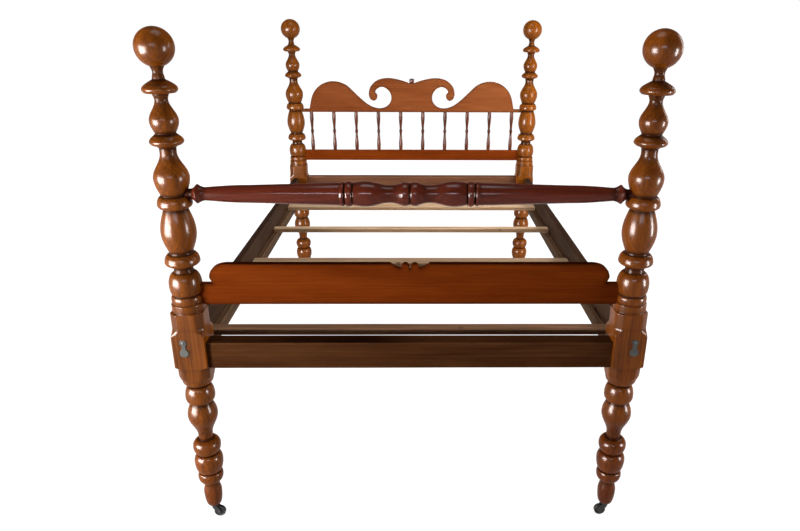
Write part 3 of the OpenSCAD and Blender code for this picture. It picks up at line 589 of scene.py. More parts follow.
def planed_bar(name, low, high, axis, node, edge, slot, seed):
    """A bar as a rounded rectangle carried along its axis: at the ends the section draws in as a
    quarter round, and each face wanders by a sum of two slow sines of the distance along it."""
    order = list(LENGTHWISE[axis])
    low, high = np.array(low)[order], np.array(high)[order]
    section, near = bar_section(low[:2], high[:2], edge)
    centre = (low[:2] + high[:2]) / 2
    ends, inset = edge * (1 - np.cos(QUARTER)), edge * (1 - np.sin(QUARTER))
    run = np.linspace(low[2] + edge * 2, high[2] - edge * 2, BAR_ROWS)
    stations = np.concatenate([low[2] + ends, run, high[2] - ends[::-1]])
    draw = np.concatenate([inset, np.zeros(BAR_ROWS), inset[::-1]])
    away = section - centre
    inner = np.sign(away) * np.maximum(np.abs(away)[None] - draw[:, None, None], 0)
    phases = np.random.default_rng(seed).uniform(0, 2 * math.pi, (2, 2))
    s = (stations - low[2])[:, None]
    wander = bpy.context.scene.bed_sizes.wander
    for side, ((slow, fast), (first, second)) in enumerate(zip(BAR_WAVES, phases)):
        wave = (np.sin(s * slow + first) + 0.6 * np.sin(s * fast + second)) / 1.6
        inner[..., side] *= 1 - wander * (0.5 + 0.5 * wave) / (high[side] - low[side]) * 2
    flat = inner + centre
    grid = np.concatenate([flat, np.broadcast_to(stations[:, None, None], flat.shape[:2] + (1,))], -1)
    at_end = np.concatenate([np.ones(len(ends)), np.zeros(BAR_ROWS), np.ones(len(ends))])
    return skin(name, grid, axis, (0, 0, 0), {"edge": np.maximum(near, at_end[:, None])}, "frame",
                node=node, slot=slot, sharp=50)


def board_points(outline, spacing):
    """Points inside a closed outline on an even grid, kept at least half a step off its edge."""
    low, high = outline.min(0), outline.max(0)
    u, v = np.meshgrid(np.arange(low[0] + spacing / 2, high[0], spacing),
                       np.arange(low[1] + spacing / 2, high[1], spacing))
    spots = np.stack([u.ravel(), v.ravel()], 1)
    a, b = outline, np.roll(outline, -1, 0)
    crosses = (a[:, 1] > spots[:, 1:2]) != (b[:, 1] > spots[:, 1:2])
    rise = np.where(b[:, 1] == a[:, 1], 1e-12, b[:, 1] - a[:, 1])
    at = a[:, 0] + (spots[:, 1:2] - a[:, 1]) / rise * (b[:, 0] - a[:, 0])
    inside = (crosses & (spots[:, :1] < at)).sum(1) % 2 == 1
    spots = spots[inside]
    gap = distance_to(outline, spots)
    return spots[gap > spacing / 2]


def distance_to(outline, spots):
    """Least distance of each spot from the sides of a closed outline."""
    a, side = outline, np.roll(outline, -1, 0) - outline
    least = np.full(len(spots), np.inf)
    for start in range(0, len(spots), 2000):
        part = spots[start:start + 2000, None]
        t = np.clip(((part - a) * side).sum(-1) / np.maximum((side ** 2).sum(-1), 1e-18), 0, 1)
        least[start:start + 2000] = np.linalg.norm(part - a - side * t[..., None], axis=-1).min(1)
    return least


def sawn_board(name, outline, y, thickness, edge, body, node, slot, spacing=BOARD_NET, wander=0.0,
               seed=0, holes=()):
    """A board sawn to a closed outline in X and Z: each outline goes round the edge with a
    quarter-round arris, and the two faces are filled with an even net of points. Holes run
    clockwise. The faces wander from flat by the product of two slow sines."""
    loops = [outline, *holes]
    rims = [board_rim(loop, thickness, edge) for loop in loops]
    starts = np.cumsum([0] + [len(rim) * len(loop) for rim, loop in zip(rims, loops)])
    firsts = np.cumsum([0] + [len(loop) for loop in loops])
    spots = board_points(rims[0][0, :, ::2], spacing)
    for hole in holes:
        spots = spots[np.linalg.norm(spots - hole.mean(0), axis=1) > np.ptp(hole[:, 0]) / 2 + edge * 2]
    flat = np.concatenate([*(rim[0, :, ::2] for rim in rims), spots])
    coords, net = face_net(name, flat, firsts, loops, holes)
    base, spots = starts[-1], coords[firsts[-1]:]
    faces, front, back = [], [], []
    for rim, loop, start in zip(rims, loops, starts):
        index = start + np.arange(len(rim) * len(loop)).reshape(len(rim), len(loop))
        faces += quads(index)[:, [0, 3, 2, 1]].tolist()
        front += index[0].tolist()
        back += index[-1].tolist()
    front = np.array(front + list(range(base, base + len(spots))))
    back = np.array(back + list(range(base + len(spots), base + 2 * len(spots))))
    faces += front[net].tolist() + back[net[:, ::-1]].tolist()
    depth = np.full(len(spots), thickness / 2)
    points = np.concatenate([*(rim.reshape(-1, 3) for rim in rims),
                             np.stack([spots[:, 0], -depth, spots[:, 1]], 1),
                             np.stack([spots[:, 0], depth, spots[:, 1]], 1)])
    phases = np.random.default_rng(seed).uniform(0, 2 * math.pi, 2)
    waves = np.sin(points[:, ::2] * FACE_WAVES + phases)
    points[:, 1] *= 1 - wander / thickness * (1 + waves[:, 0] * waves[:, 1])
    points[:, 1] += y
    gap = distance_to(outline, spots)
    gap = np.concatenate([np.zeros(base), gap, gap])
    return piece(name, points, faces, body, node, slot, 50, {"edge": np.exp(-gap / EDGE_FADE)})


def face_net(name, flat, firsts, loops, holes):
    """Delaunay triangles over a face's points, facing front, that keep its outlines as edges and
    leave its holes open."""
    sides = [(first + i, first + (i + 1) % len(loop))
             for first, loop in zip(firsts, loops) for i in range(len(loop))]
    made = delaunay_2d_cdt([Vector(p) for p in flat], sides, [], 1, 1e-7)
    coords, net = np.array(made[0]), np.array(made[2])
    if len(coords) != len(flat):
        raise RuntimeError(f"{name}: the face net changed the outline")
    p, q, r = coords[net].transpose(1, 0, 2)
    turned_over = (q - p)[:, 0] * (r - p)[:, 1] - (q - p)[:, 1] * (r - p)[:, 0] < 0
    net[turned_over] = net[turned_over][:, ::-1]
    for hole in holes:
        away = np.linalg.norm(coords[net].mean(1) - hole.mean(0), axis=1)
        net = net[away > np.ptp(hole[:, 0]) / 2]
    return coords, net


def board_rim(outline, thickness, edge):
    """Rings of points round a sawn edge, from the front face over two quarter rounds to the
    back face. A ring lies edge * (1 - sin a) inside the outline."""
    def units(ways):
        return ways / np.linalg.norm(ways, axis=1)[:, None]

    way = units(outline - np.roll(outline, 1, 0)) + units(np.roll(outline, -1, 0) - outline)
    way /= np.maximum(np.linalg.norm(way, axis=1), 0.35)[:, None]
    inward = np.stack([-way[:, 1], way[:, 0]], 1)
    inset = edge * (1 - np.sin(QUARTER))
    depth = thickness / 2 - edge * (1 - np.cos(QUARTER))
    inset = np.concatenate([inset, inset[::-1]])
    depth = np.concatenate([depth, -depth[::-1]])
    rings = outline[None] + inward[None] * inset[:, None, None]
    return np.stack([rings[..., 0], np.broadcast_to(-depth[:, None], rings.shape[:2]),
                     rings[..., 1]], -1)


def round_hole(x, z, radius):
    """A clockwise circle."""
    return arc((x, z), radius, -np.linspace(0, 2 * math.pi, HOLE_SIDES, endpoint=False))


def ring_piece(name, loop, centre, axis, body, **settings):
    """A ring as a closed profile of (radius, width) points, anticlockwise, carried round the axis
    as (r cos a, r sin a, w). The profile's corners are averaged with a bell."""
    loop = even_steps(np.vstack([loop, loop[:1]]), OUTLINE_STEP)[:-1]
    lap = 20
    loop = blurred(np.vstack([loop[-lap:], loop, loop[:lap]]), 1.6)[lap:-lap]
    angles = np.linspace(0, 2 * math.pi, WHEEL_COLUMNS, endpoint=False)
    grid = carried_round(loop[:, :1], loop[:, 1:], angles)
    index = np.arange(grid[..., 0].size).reshape(grid.shape[:2])
    return piece(name, laid(grid.reshape(-1, 3), axis) + np.asarray(centre),
                 quads(np.vstack([index, index[:1]])).tolist(), body, sharp=55, **settings)


def both_sides(half):
    """A closed outline, anticlockwise, from its right half listed from the middle's top down to
    the bottom edge."""
    right = np.asarray(half, float)[::-1]
    left = right[::-1] * (-1, 1)
    joined = np.vstack([right, left])
    step = np.linalg.norm(joined - np.roll(joined, 1, 0), axis=1)
    return joined[step > 1e-6]


# Materials

class Nodes:
    """A node tree in short calls. A value may be a number, a colour or a socket."""

    def __init__(self, tree):
        self.tree = tree

    def put(self, socket, value):
        """Links a socket to another, or sets its value."""
        if isinstance(value, bpy.types.NodeSocket):
            self.tree.links.new(value, socket)
        elif isinstance(value, tuple) and len(value) == 3 and socket.type == "RGBA":
            socket.default_value = (*value, 1.0)
        else:
            socket.default_value = value

    def node(self, kind, *values, **settings):
        """A node with its settings and its first inputs."""
        made = self.tree.nodes.new("ShaderNode" + kind)
        for key, value in settings.items():
            setattr(made, key, value)
        for socket, value in zip(made.inputs, values):
            self.put(socket, value)
        return made

    def math(self, operation, *values, clamp=False):
        """One sum on numbers."""
        return self.node("Math", *values, operation=operation, use_clamp=clamp).outputs[0]

    def vector(self, operation, *values):
        """One sum on vectors."""
        made = self.node("VectorMath", *values, operation=operation)
        return made.outputs["Value" if operation == "LENGTH" else "Vector"]

    def swing(self, value, amount):
        """A value of 0 to 1 as a swing of up to half the amount each way."""
        return self.math("MULTIPLY", self.math("SUBTRACT", value, 0.5), amount)

    def noise(self, where, detail=3.0, roughness=0.5, distortion=0.0):
        """Soft noise, 0 to 1, one bump to a unit."""
        made = self.node("TexNoise", where)
        for key, value in (("Scale", 1.0), ("Detail", detail), ("Roughness", roughness),
                           ("Distortion", distortion)):
            made.inputs[key].default_value = value
        return made.outputs["Fac"]

    def spots(self, where):
        """Distance to the nearest of scattered points, one to a unit cell."""
        made = self.node("TexVoronoi", where)
        made.inputs["Scale"].default_value = 1.0
        return made.outputs["Distance"]

    def ramp(self, value, low, high, start=0.0, end=1.0):
        """Value carried from low..high to start..end and held there."""
        return self.node("MapRange", value, low, high, start, end, clamp=True).outputs[0]

    def mix(self, share, first, second, blend="MIX"):
        """Two colours mixed by a share."""
        made = self.node("Mix", data_type="RGBA", blend_type=blend)
        for socket, value in zip((made.inputs[0], made.inputs[6], made.inputs[7]),
                                 (share, first, second)):
            self.put(socket, value)
        return made.outputs[2]

    def grey(self, value):
        """A grey of that brightness."""
        return self.node("CombineColor", value, value, value).outputs[0]

    def coordinate(self, axis):
        """Object coordinate along an axis, in metres."""
        place = self.node("SeparateXYZ", self.node("TexCoord").outputs["Object"])
        return place.outputs["XYZ".index(axis)]

    def seen(self):
        """1 on camera, glossy and transmission rays, 0 on the rays that light the bed."""
        paths = self.node("LightPath").outputs
        direct = self.math("MAXIMUM", paths["Is Camera Ray"], paths["Is Glossy Ray"])
        return self.math("MAXIMUM", direct, paths["Is Transmission Ray"])


class Shader(Nodes):
    """One material's nodes."""

    def __init__(self, name):
        self.material = bpy.data.materials.new(name)
        self.material.use_nodes = True
        super().__init__(self.material.node_tree)
        self.surface = self.tree.nodes["Principled BSDF"]

    def attribute(self, name):
        """A number carried by the mesh, 0 where the mesh has none."""
        return self.node("Attribute", attribute_name=name).outputs["Fac"]

    def bump(self, height, distance):
        """A bump of that height in metres."""
        made = self.node("Bump")
        made.inputs["Distance"].default_value = distance
        self.put(made.inputs["Height"], height)
        return made.outputs["Normal"]

    def finish(self, colour=None, roughness=None, normal=None, **constants):
        """Feeds the shader and sets its constant sockets."""
        for key, value in (("Base Color", colour), ("Roughness", roughness), ("Normal", normal)):
            if value is not None:
                self.put(self.surface.inputs[key], value)
        for key, value in constants.items():
            self.put(self.surface.inputs[key.replace("_", " ")], value)
        return self.material


def grain_space(shader, origin, axis):
    """Object coordinates in metres about origin, with the grain along the third."""
    place = shader.node("TexCoord").outputs["Object"]
    moved = shader.vector("SUBTRACT", place, tuple(origin))
    apart = shader.node("SeparateXYZ", moved).outputs
    return shader.node("CombineXYZ", *(apart[i] for i in LENGTHWISE[axis])).outputs[0]


def tinted(colours, shares):
    """A colour with its red, green and blue times their shares, held below 1."""
    return tuple(min(1.0, value * share) for value, share in zip(colours, shares))


def wood(name, colours, axis, origin, shares=(1.0, 1.0, 1.0), pith=(0.0, 0.0), ring=0.006,
         ring_depth=0.35, figure=0.5, fibre=0.35, roughness=0.4, coat=0.0, coat_roughness=0.22,
         sheen=0.0, dirt_and_shade_amount=0.85, wear_and_highlight=0.3, rim=0.0, knots=0.0, extra=()):
    """Wood in shares of the two colours of that name, with its grain along the axis: slow figure
    and fine fibres are noise drawn out along the grain, growth rings are bands of the distance
    from a pith line, pores are thin dark dashes. Hollows are darkened, partly as dark finish left
    in them and partly as painted shade; proud places are rubbed lighter, edges are lightened as a
    painted highlight, and some board edges get a painted dark rim of shade. The coat of polish
    thins out in hollows."""
    finish = bpy.context.scene.bed_finish
    light, dark = (tinted(getattr(finish, f"{colours}_{end}"), shares) for end in ("light", "dark"))
    s = Shader(name)
    where = grain_space(s, origin, axis)

    def drawn(across, along, *settings):
        return s.noise(s.vector("MULTIPLY", where, (across, across, along)), *settings)

    slow = drawn(14.0, 2.2, 3.0, 0.5, 0.4)
    mottle = drawn(60.0, 9.0, 3.0, 0.55)
    fibres = drawn(900.0, 14.0, 3.0, 0.6)
    streaks = drawn(210.0, 4.0, 2.0, 0.55)
    rings = growth_rings(s, where, pith, ring)
    share = s.math("ADD", s.swing(slow, figure * 2.4), 0.5)
    share = s.math("ADD", share, s.swing(rings, ring_depth))
    share = s.math("ADD", share, s.swing(mottle, figure * 0.9))
    share = s.math("ADD", share, s.swing(streaks, fibre * 1.6), clamp=True)
    tone = s.mix(share, dark, light)
    fine = s.ramp(fibres, 0.3, 0.7, 1.0 - fibre * 0.55, 1.0 + fibre * 0.3)
    tone = s.mix(1.0, tone, s.grey(fine), "MULTIPLY")
    pore = s.ramp(drawn(1700.0, 70.0, 1.0, 0.5), 0.66, 0.74)
    glaze = tuple(finish.glaze)
    tone = s.mix(s.math("MULTIPLY", pore, 0.3), tone, glaze)
    # Proud places are lightened as rubbed wear; edges, and a post block's corners, are lightened as a
    # painted highlight
    rubbed = s.math("MULTIPLY", s.math("MAXIMUM", s.attribute("proud"), s.attribute("edge")),
                    s.ramp(mottle, 0.35, 0.65, 0.2, 1.0))
    tone = s.mix(s.math("MULTIPLY", rubbed, wear_and_highlight, clamp=True), tone,
                 tuple(min(1.0, c * 1.5 + 0.01) for c in light))
    # Hollows are darkened: dark finish left in them, and painted shade in the recesses
    dirt_and_shade = s.math("MULTIPLY", s.attribute("hollow"), s.ramp(mottle, 0.25, 0.6, 1.15, 0.8))
    dirt_and_shade = s.math("MULTIPLY", s.ramp(dirt_and_shade, 0.03, 0.5), dirt_and_shade_amount, clamp=True)
    tone = s.mix(dirt_and_shade, tone, glaze)
    if knots:
        near = s.spots(s.vector("MULTIPLY", where, (10.0, 10.0, 7.0)))
        tone = s.mix(s.ramp(near, 0.05, 0.11, knots, 0.0), tone, glaze)
    # A painted dark rim of shade along a board's edges
    if rim:
        tone = s.mix(s.math("MULTIPLY", s.attribute("edge"), rim), tone, glaze)
    for tint in extra:
        tone = tint(s, tone)
    gloss = s.math("ADD", s.ramp(mottle, 0.3, 0.7, roughness - 0.05, roughness + 0.07),
                   s.math("MULTIPLY", dirt_and_shade, 0.12))
    relief = s.math("ADD", fibres, s.math("MULTIPLY", pore, -0.6))
    shine = s.ramp(dirt_and_shade, 0.0, 1.0, coat, 0.1 * coat) if coat else 0.0
    return s.finish(tone, gloss, s.bump(relief, 0.15 * MM), Coat_Weight=shine,
                    Coat_Roughness=coat_roughness, Coat_IOR=1.4, Coat_Tint=(0.90, 0.70, 0.50),
                    Specular_IOR_Level=sheen, Specular_Tint=(1.0, 0.75, 0.55))


def growth_rings(s, where, pith, ring):
    """Bands of noise of the distance from the pith line, one to a ring's width, after the wood has
    been bent by up to 10 mm each way."""
    bend = s.node("TexNoise", s.vector("MULTIPLY", where, (7.0, 7.0, 1.3)))
    bend.inputs["Scale"].default_value = 1.0
    bent = s.vector("SUBTRACT", bend.outputs["Color"], (0.5, 0.5, 0.5))
    warped = s.vector("ADD", where, s.vector("MULTIPLY", bent, (0.02, 0.02, 0.0)))
    across = s.vector("MULTIPLY", s.vector("SUBTRACT", warped, (*pith, 0.0)), (1.0, 1.0, 0.0))
    band = s.node("TexNoise", noise_dimensions="1D")
    s.put(band.inputs["W"], s.math("MULTIPLY", s.vector("LENGTH", across), 1.0 / ring))
    band.inputs["Scale"].default_value = 1.0
    band.inputs["Detail"].default_value = 2.0
    return s.ramp(band.outputs["Fac"], 0.35, 0.68)


def grey_cap(level):
    """Dark grey top above a level, as on the peg's cap."""
    def tint(s, tone):
        return s.mix(s.ramp(s.coordinate("Z"), level - 0.0006, level + 0.0006), tone, colour("3A3836"))
    return tint


def light_and_dirt_ramp(axis, start, end, shares):
    """Wood whose red, green and blue go to shares of themselves between two places along an
    axis: painted light and shade, where a side or face is painted lighter or darker for the light
    it gets, and on the posts' feet dirt as well."""
    def tint(s, tone):
        place = s.coordinate(axis)
        factors = (s.ramp(place, start, end, 1.0, share) for share in shares)
        return s.mix(1.0, tone, s.node("CombineColor", *factors).outputs[0], "MULTIPLY")
    return tint


def metal(name, tone, rust, amount):
    """Old metal: mottled tone, brown patches of rust, edges painted darker as shade, and a pitted
    skin. Amount is how metallic.
    """
    s = Shader(name)
    where = s.node("TexCoord").outputs["Object"]
    patches = s.noise(s.vector("MULTIPLY", where, (90.0, 90.0, 90.0)), 5.0, 0.65)
    grit = s.noise(s.vector("MULTIPLY", where, (900.0, 900.0, 900.0)), 2.0, 0.6)
    mottled = s.mix(s.ramp(patches, 0.35, 0.65), tinted(tone, (0.55,) * 3), tinted(tone, (1.25,) * 3))
    rusty = s.mix(s.math("MULTIPLY", s.ramp(patches, 0.52, 0.68), 0.7), mottled, rust)
    # Edges are painted darker, as shade along a plate's rim
    dark_rimmed = s.mix(s.math("MULTIPLY", s.attribute("edge"), 0.5), rusty, tinted(tone, (0.35,) * 3))
    return s.finish(dark_rimmed, s.ramp(grit, 0.3, 0.7, 0.52, 0.75),
                    s.bump(s.math("ADD", patches, s.math("MULTIPLY", grit, 0.4)), 0.3 * MM),
                    Metallic=amount, Specular_IOR_Level=0.2)


def dress(objects, material):
    """Gives each object that one material on all its slots."""
    for thing in objects:
        slots = thing.material_slots
        if not slots:
            thing.data.materials.append(material)
        for place in slots:
            place.material = material


def middle(node):
    """Middle of a CAD node's box."""
    low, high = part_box(node)
    return (low + high) / 2


# Operators, one for each kind of piece

class BED_OT_posts(Operator):
    """Turns the four posts: leg, block with lamb's-tongue stops, shaft and ball"""
    bl_idname = "bed.posts"
    bl_label = "Posts"

    def execute(self, context):
        for number, corner in enumerate(CORNERS):
            end, side = corner.split("_")
            node = f"{end}_post_{side}"
            centre = middle(node)
            centre.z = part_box(node)[0].z
            pith = (0.019 * (-1) ** number, 0.012 * (1 if end == "foot" else -1))
            # Each post's shares paint it lighter or darker for the light it gets, and the two ramps
            # darken its leg and foot as dirt and as painted shade
            dress([post_piece(f"{node}_turned", centre, node, context.scene.bed_sizes)], wood(
                f"post_wood_{corner}", "post", "Z", centre, POST_LIGHT_SHARES[corner], pith, ring_depth=0.24,
                fibre=0.5, roughness=0.45, coat=0.3, sheen=0.02, wear_and_highlight=0.12,
                extra=(light_and_dirt_ramp("Z", *LEG_HEIGHTS, LEG_DIRT_AND_SHADE_SHARES[corner]),
                       light_and_dirt_ramp("Z", *FOOT_HEIGHTS, FOOT_DIRT_AND_SHADE_SHARES))))
        return {"FINISHED"}


class BED_OT_blanket_roll(Operator):
    """Turns the blanket roll between the foot posts"""
    bl_idname = "bed.blanket_roll"
    bl_label = "Blanket roll"

    def execute(self, context):
        centre = middle("blanket_roll")
        dress([turned_piece(
            "blanket_roll_turned", ROLL_RUNS, ROLL_START, centre, "X", "blanket_roll", columns=64,
            rows=900, mirrored=True, groove=3.0, node="blanket_roll", slot="roll_wood")],
            wood("roll_wood", "roll", "X", centre, pith=(0.008, 0.011), ring=0.005,
                 ring_depth=0.2, figure=0.3, coat=0.4, coat_roughness=0.15, sheen=0.01, dirt_and_shade_amount=1.0,
                 wear_and_highlight=0.08))
        return {"FINISHED"}


class BED_OT_footboard(Operator):
    """Saws the footboard with its ears and the two small scrolls"""
    bl_idname = "bed.footboard"
    bl_label = "Footboard"

    def execute(self, context):
        sizes = context.scene.bed_sizes
        low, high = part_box("footboard")
        end, height = high.x / MM, (high.z - low.z) / MM
        t = np.linspace(0, 1, 14)
        half = np.vstack([
            [(0, height - NOTCH_DEPTH)],
            arc((LOBE_CENTRE[0], height + LOBE_CENTRE[1]), LOBE_RADIUS,
                np.radians(np.linspace(*LOBE_SWEEP, 26))),
            np.stack([RISE_START + RISE_LENGTH * t,
                      height - RISE_DEPTH * np.cos(t * math.pi / 2)], 1),
            straight((TOP_EDGE[0], height), (TOP_EDGE[1], height), 60),
            curve_through(FOOTBOARD_EAR, 6)[::-1],
            straight((LEDGE_START, LEDGE_HEIGHT), (end, LEDGE_HEIGHT), 6),
            straight((end, LEDGE_HEIGHT - 8), (end, 0), 8),
            straight((600, 0), (0, 0), 80),
        ])
        # The board is painted darker towards the right as shade and its top face painted dark as shade;
        # its edges get a painted dark rim of shade
        top = high.z - 0.8 * MM
        dress([sawn_board(
            "footboard_sawn", both_sides(half) * MM + (0, low.z), middle("footboard").y,
            high.y - low.y, sizes.board_edge, "frame", "footboard", "board_wood",
            wander=sizes.wander, seed=3)],
            wood("footboard_wood", "board", "X", middle("footboard"), pith=(0.0, -0.09),
                 ring_depth=0.12, figure=0.4, coat=0.01, wear_and_highlight=0.0, rim=0.45,
                 extra=(light_and_dirt_ramp("X", 0.1, 0.6, (0.85, 0.85, 0.85)),
                        light_and_dirt_ramp("Z", top, top + 0.4 * MM, (0.4, 0.35, 0.3)))))
        return {"FINISHED"}


class BED_OT_headboard(Operator):
    """Saws the headboard's crest and lower rail, and turns its spindles and peg"""
    bl_idname = "bed.headboard"
    bl_label = "Headboard"

    def execute(self, context):
        self.crest(context.scene.bed_sizes)
        self.lower_rail(context.scene.bed_sizes)
        self.spindles()
        self.peg()
        return {"FINISHED"}

    def crest(self, sizes):
        """The scroll-cut board on top of the spindles."""
        low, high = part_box("headboard_crest")
        end = high.x / MM
        spread = ((end - CREST_SHOULDER) / THROAT_AND_ARCH[-1][0], 1)
        flat = SCROLL_TOP[0][1]
        half = np.vstack([
            straight((0, flat), (CREST_FLAT, flat), 4),
            curve_through(SCROLL_TOP, 5)[:-1] * spread,
            curve_through(THROAT_AND_ARCH, 5) * spread,
            straight((STRIP_START, STRIP_HEIGHT), (end, STRIP_HEIGHT), 8),
            [(end, 8)],
            straight((end, 0), (0, 0), 90),
        ])
        # The crest is painted lighter towards the right as light, and its edges get a painted dark rim
        # of shade
        dress([sawn_board(
            "headboard_crest_sawn", both_sides(half) * MM + (0, low.z), middle("headboard_crest").y,
            high.y - low.y, sizes.board_edge, "frame", "headboard_crest", "board_wood",
            wander=sizes.wander, seed=5)],
            wood("headboard_wood", "crest", "X", middle("headboard_crest"), pith=(0.0, -0.05),
                 ring=0.007, ring_depth=0.2, figure=0.4, coat=0.01, wear_and_highlight=0.0, rim=0.35,
                 extra=(light_and_dirt_ramp("X", -0.5, 0.5, (1.25, 1.4, 1.5)),)))

    def lower_rail(self, sizes):
        """The bar under the spindles."""
        node = "headboard_lower_rail"
        dress([planed_bar(f"{node}_planed", *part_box(node), "X", node, sizes.board_edge,
                          "board_wood", 8)],
              wood("lower_rail_wood", "board", "X", middle(node), pith=(0.0, -0.04), figure=0.4,
                   coat=0.01))

    def spindles(self):
        """The turned sticks between the lower rail and the crest."""
        spindle_wood = wood(
            "spindle_wood", "spindle", "Z", middle("spindle_1"), pith=(0.003, 0.004), ring=0.004,
            coat=0.22, sheen=0.01)
        bottom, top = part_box("headboard_lower_rail")[1].z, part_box("headboard_crest")[0].z
        runs = stretched(SPINDLE_RUNS, (top - bottom) / MM / 2)
        for number in range(1, SPINDLE_COUNT + 1):
            node = f"spindle_{number}"
            centre = middle(node)
            dress([turned_piece(
                f"{node}_turned", runs, SPINDLE_START, (centre.x, centre.y, (bottom + top) / 2), "Z",
                "frame", columns=32, rows=260, mirrored=True, ease=0.3, groove=1.6, node=node,
                slot="board_wood")], spindle_wood)

    def peg(self):
        """The turned peg in the dip of the crest, with its grey cap."""
        centre = middle("crest_peg")
        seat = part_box("crest_peg")[1].z - (PEG_HEIGHT + PEG_DOME) * MM
        dress([turned_piece(
            "crest_peg_turned", PEG_RUNS, PEG_START, (centre.x, centre.y, seat), "Z", "frame",
            columns=40, rows=80, dome=PEG_DOME, ease=0.25, node="crest_peg",
            slot="roll_wood")],
            wood("peg_wood", "roll", "Z", centre, ring=0.004, roughness=0.3, coat=0.3, sheen=0.08,
                 extra=(grey_cap(seat + PEG_HEIGHT * MM),)))


def planks(nodes, axis, slot, material, trim=None):
    """Planed bars in place of CAD nodes, cut to the trim at each end where they meet a post."""
    sizes = bpy.context.scene.bed_sizes
    order = "XYZ".index(axis)
    for seed, node in enumerate(nodes, 11):
        low, high = (list(corner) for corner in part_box(node))
        if trim:
            low[order], high[order] = -trim, trim
        dress([planed_bar(f"{node}_planed", low, high, axis, node, sizes.bar_edge, slot, seed)],
              material)


class BED_OT_rails(Operator):
    """Planes the foot, head and side rails"""
    bl_idname = "bed.rails"
    bl_label = "Rails"

    def execute(self, context):
        gap = context.scene.bed_sizes.shoulder_gap
        post = middle("head_post_right")
        inner_x, inner_y = (place - BLOCK_HALF * MM - gap for place in post[:2])
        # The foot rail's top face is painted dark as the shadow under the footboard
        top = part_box("foot_rail")[1].z - 0.4 * MM
        planks(("foot_rail",), "X", "rail_wood", wood(
            "foot_rail_wood", "rail", "X", middle("foot_rail"), pith=(0.03, -0.06),
            ring_depth=0.14, coat=0.01, wear_and_highlight=0.25,
            extra=(light_and_dirt_ramp("Z", top, top + 0.3 * MM, (0.3, 0.26, 0.24)),)), trim=inner_x)
        planks(("head_rail",), "X", "rail_wood", wood(
            "head_rail_wood", "head_rail", "X", middle("head_rail"), pith=(0.03, -0.06),
            ring_depth=0.15, coat=0.02, sheen=0.01, wear_and_highlight=0.25), trim=inner_x)
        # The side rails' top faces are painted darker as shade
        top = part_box("side_rail_left")[1].z - 2.4 * MM
        planks(("side_rail_left", "side_rail_right"), "Y", "rail_wood", wood(
            "side_rail_wood", "side_rail", "Y", middle("side_rail_left"), pith=(0.03, 0.08),
            ring_depth=0.12, figure=0.6, roughness=0.6, sheen=0.01, wear_and_highlight=0.2, knots=0.8,
            extra=(light_and_dirt_ramp("Z", top, top + 1.5 * MM, (0.55, 0.5, 0.5)),)), trim=inner_y)
        return {"FINISHED"}


class BED_OT_ledgers(Operator):
    """Planes the left ledger and finishes the right one in its imported shape; both carry the slats"""
    bl_idname = "bed.ledgers"
    bl_label = "Ledgers"

    def execute(self, context):
        ledger_wood = wood(
            "ledger_wood", "ledger", "Y", middle("ledger_left"), ring=0.005, ring_depth=0.2,
            figure=0.6, roughness=0.65, sheen=0.03, wear_and_highlight=0.6)
        planks(("ledger_left",), "Y", "rail_wood", ledger_wood)
        dress([frame["nodes"]["ledger_right"]], ledger_wood)
        return {"FINISHED"}


class BED_OT_slats(Operator):
    """Planes the four loose slats"""
    bl_idname = "bed.slats"
    bl_label = "Slats"

    def execute(self, context):
        slots = {"pine": "pine_slat", "old_pine": "old_slat"}
        for number, (node, (colours, pale)) in enumerate(SLATS.items()):
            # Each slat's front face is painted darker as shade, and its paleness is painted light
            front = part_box(node)[0].y + 0.8 * MM
            origin = middle(node) + Vector((0.47 * number, 0, 0))
            planks((node,), "X", slots[colours], wood(
                f"{node}_pine", colours, "X", origin, (pale,) * 3, pith=(0.01, -0.05), ring=0.004,
                ring_depth=0.3, figure=0.4, roughness=0.65, sheen=0.03, wear_and_highlight=0.1, knots=0.7,
                extra=(light_and_dirt_ramp("Y", front, front - 0.4 * MM, (0.6, 0.55, 0.5)),)))
        return {"FINISHED"}


class BED_OT_bolts(Operator):
    """Finishes the bed bolts, nuts, screws, pins and keyhole covers"""
    bl_idname = "bed.bolts"
    bl_label = "Bolts and covers"

    def execute(self, context):
        finish, nodes = context.scene.bed_finish, frame["nodes"]
        rust = colour("4A2E1C")
        dress([nodes[name] for name in ("bed_bolts", "ledger_screws", "cover_pins")],
              metal("old_steel", finish.steel, rust, 0.2))
        dress([nodes["bed_nuts"]], metal("nut_iron", finish.iron, rust, 0.2))
        cover_metal = metal("cover_metal", finish.cover, colour("3E3A2C"), 0.1)
        for corner in CORNERS:
            node = f"bolt_cover_{corner}"
            low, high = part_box(node)
            disc, x = (high.x - low.x) / 2, (high.x + low.x) / 2
            pin = high.z - COVER_TOP * MM
            outline = keyhole(disc / MM, COVER_TOP, COVER_NECK, (pin - low.z - disc) / MM)
            dress([sawn_board(
                f"{node}_plate", outline * MM + (x, low.z + disc), (low.y + high.y) / 2,
                high.y - low.y, 0.5 * MM, f"cover_{corner}", node, "cover_metal",
                spacing=PLATE_NET, holes=(round_hole(x, pin, COVER_HOLE * MM),))], cover_metal)
        return {"FINISHED"}


def keyhole(disc, top, neck, rise):
    """Outline of a bolt cover, anticlockwise: a disc at the origin and a smaller one above it at
    the height rise, joined by a straight neck."""
    lower, upper = math.asin(neck / 2 / disc), math.asin(neck / 2 / top)
    below = np.linspace(math.pi / 2 + lower, 5 * math.pi / 2 - lower, 40)
    above = np.linspace(-math.pi / 2 + upper, 3 * math.pi / 2 - upper, 32)
    return np.vstack([arc((0, 0), disc, below), arc((0, rise), top, above)])


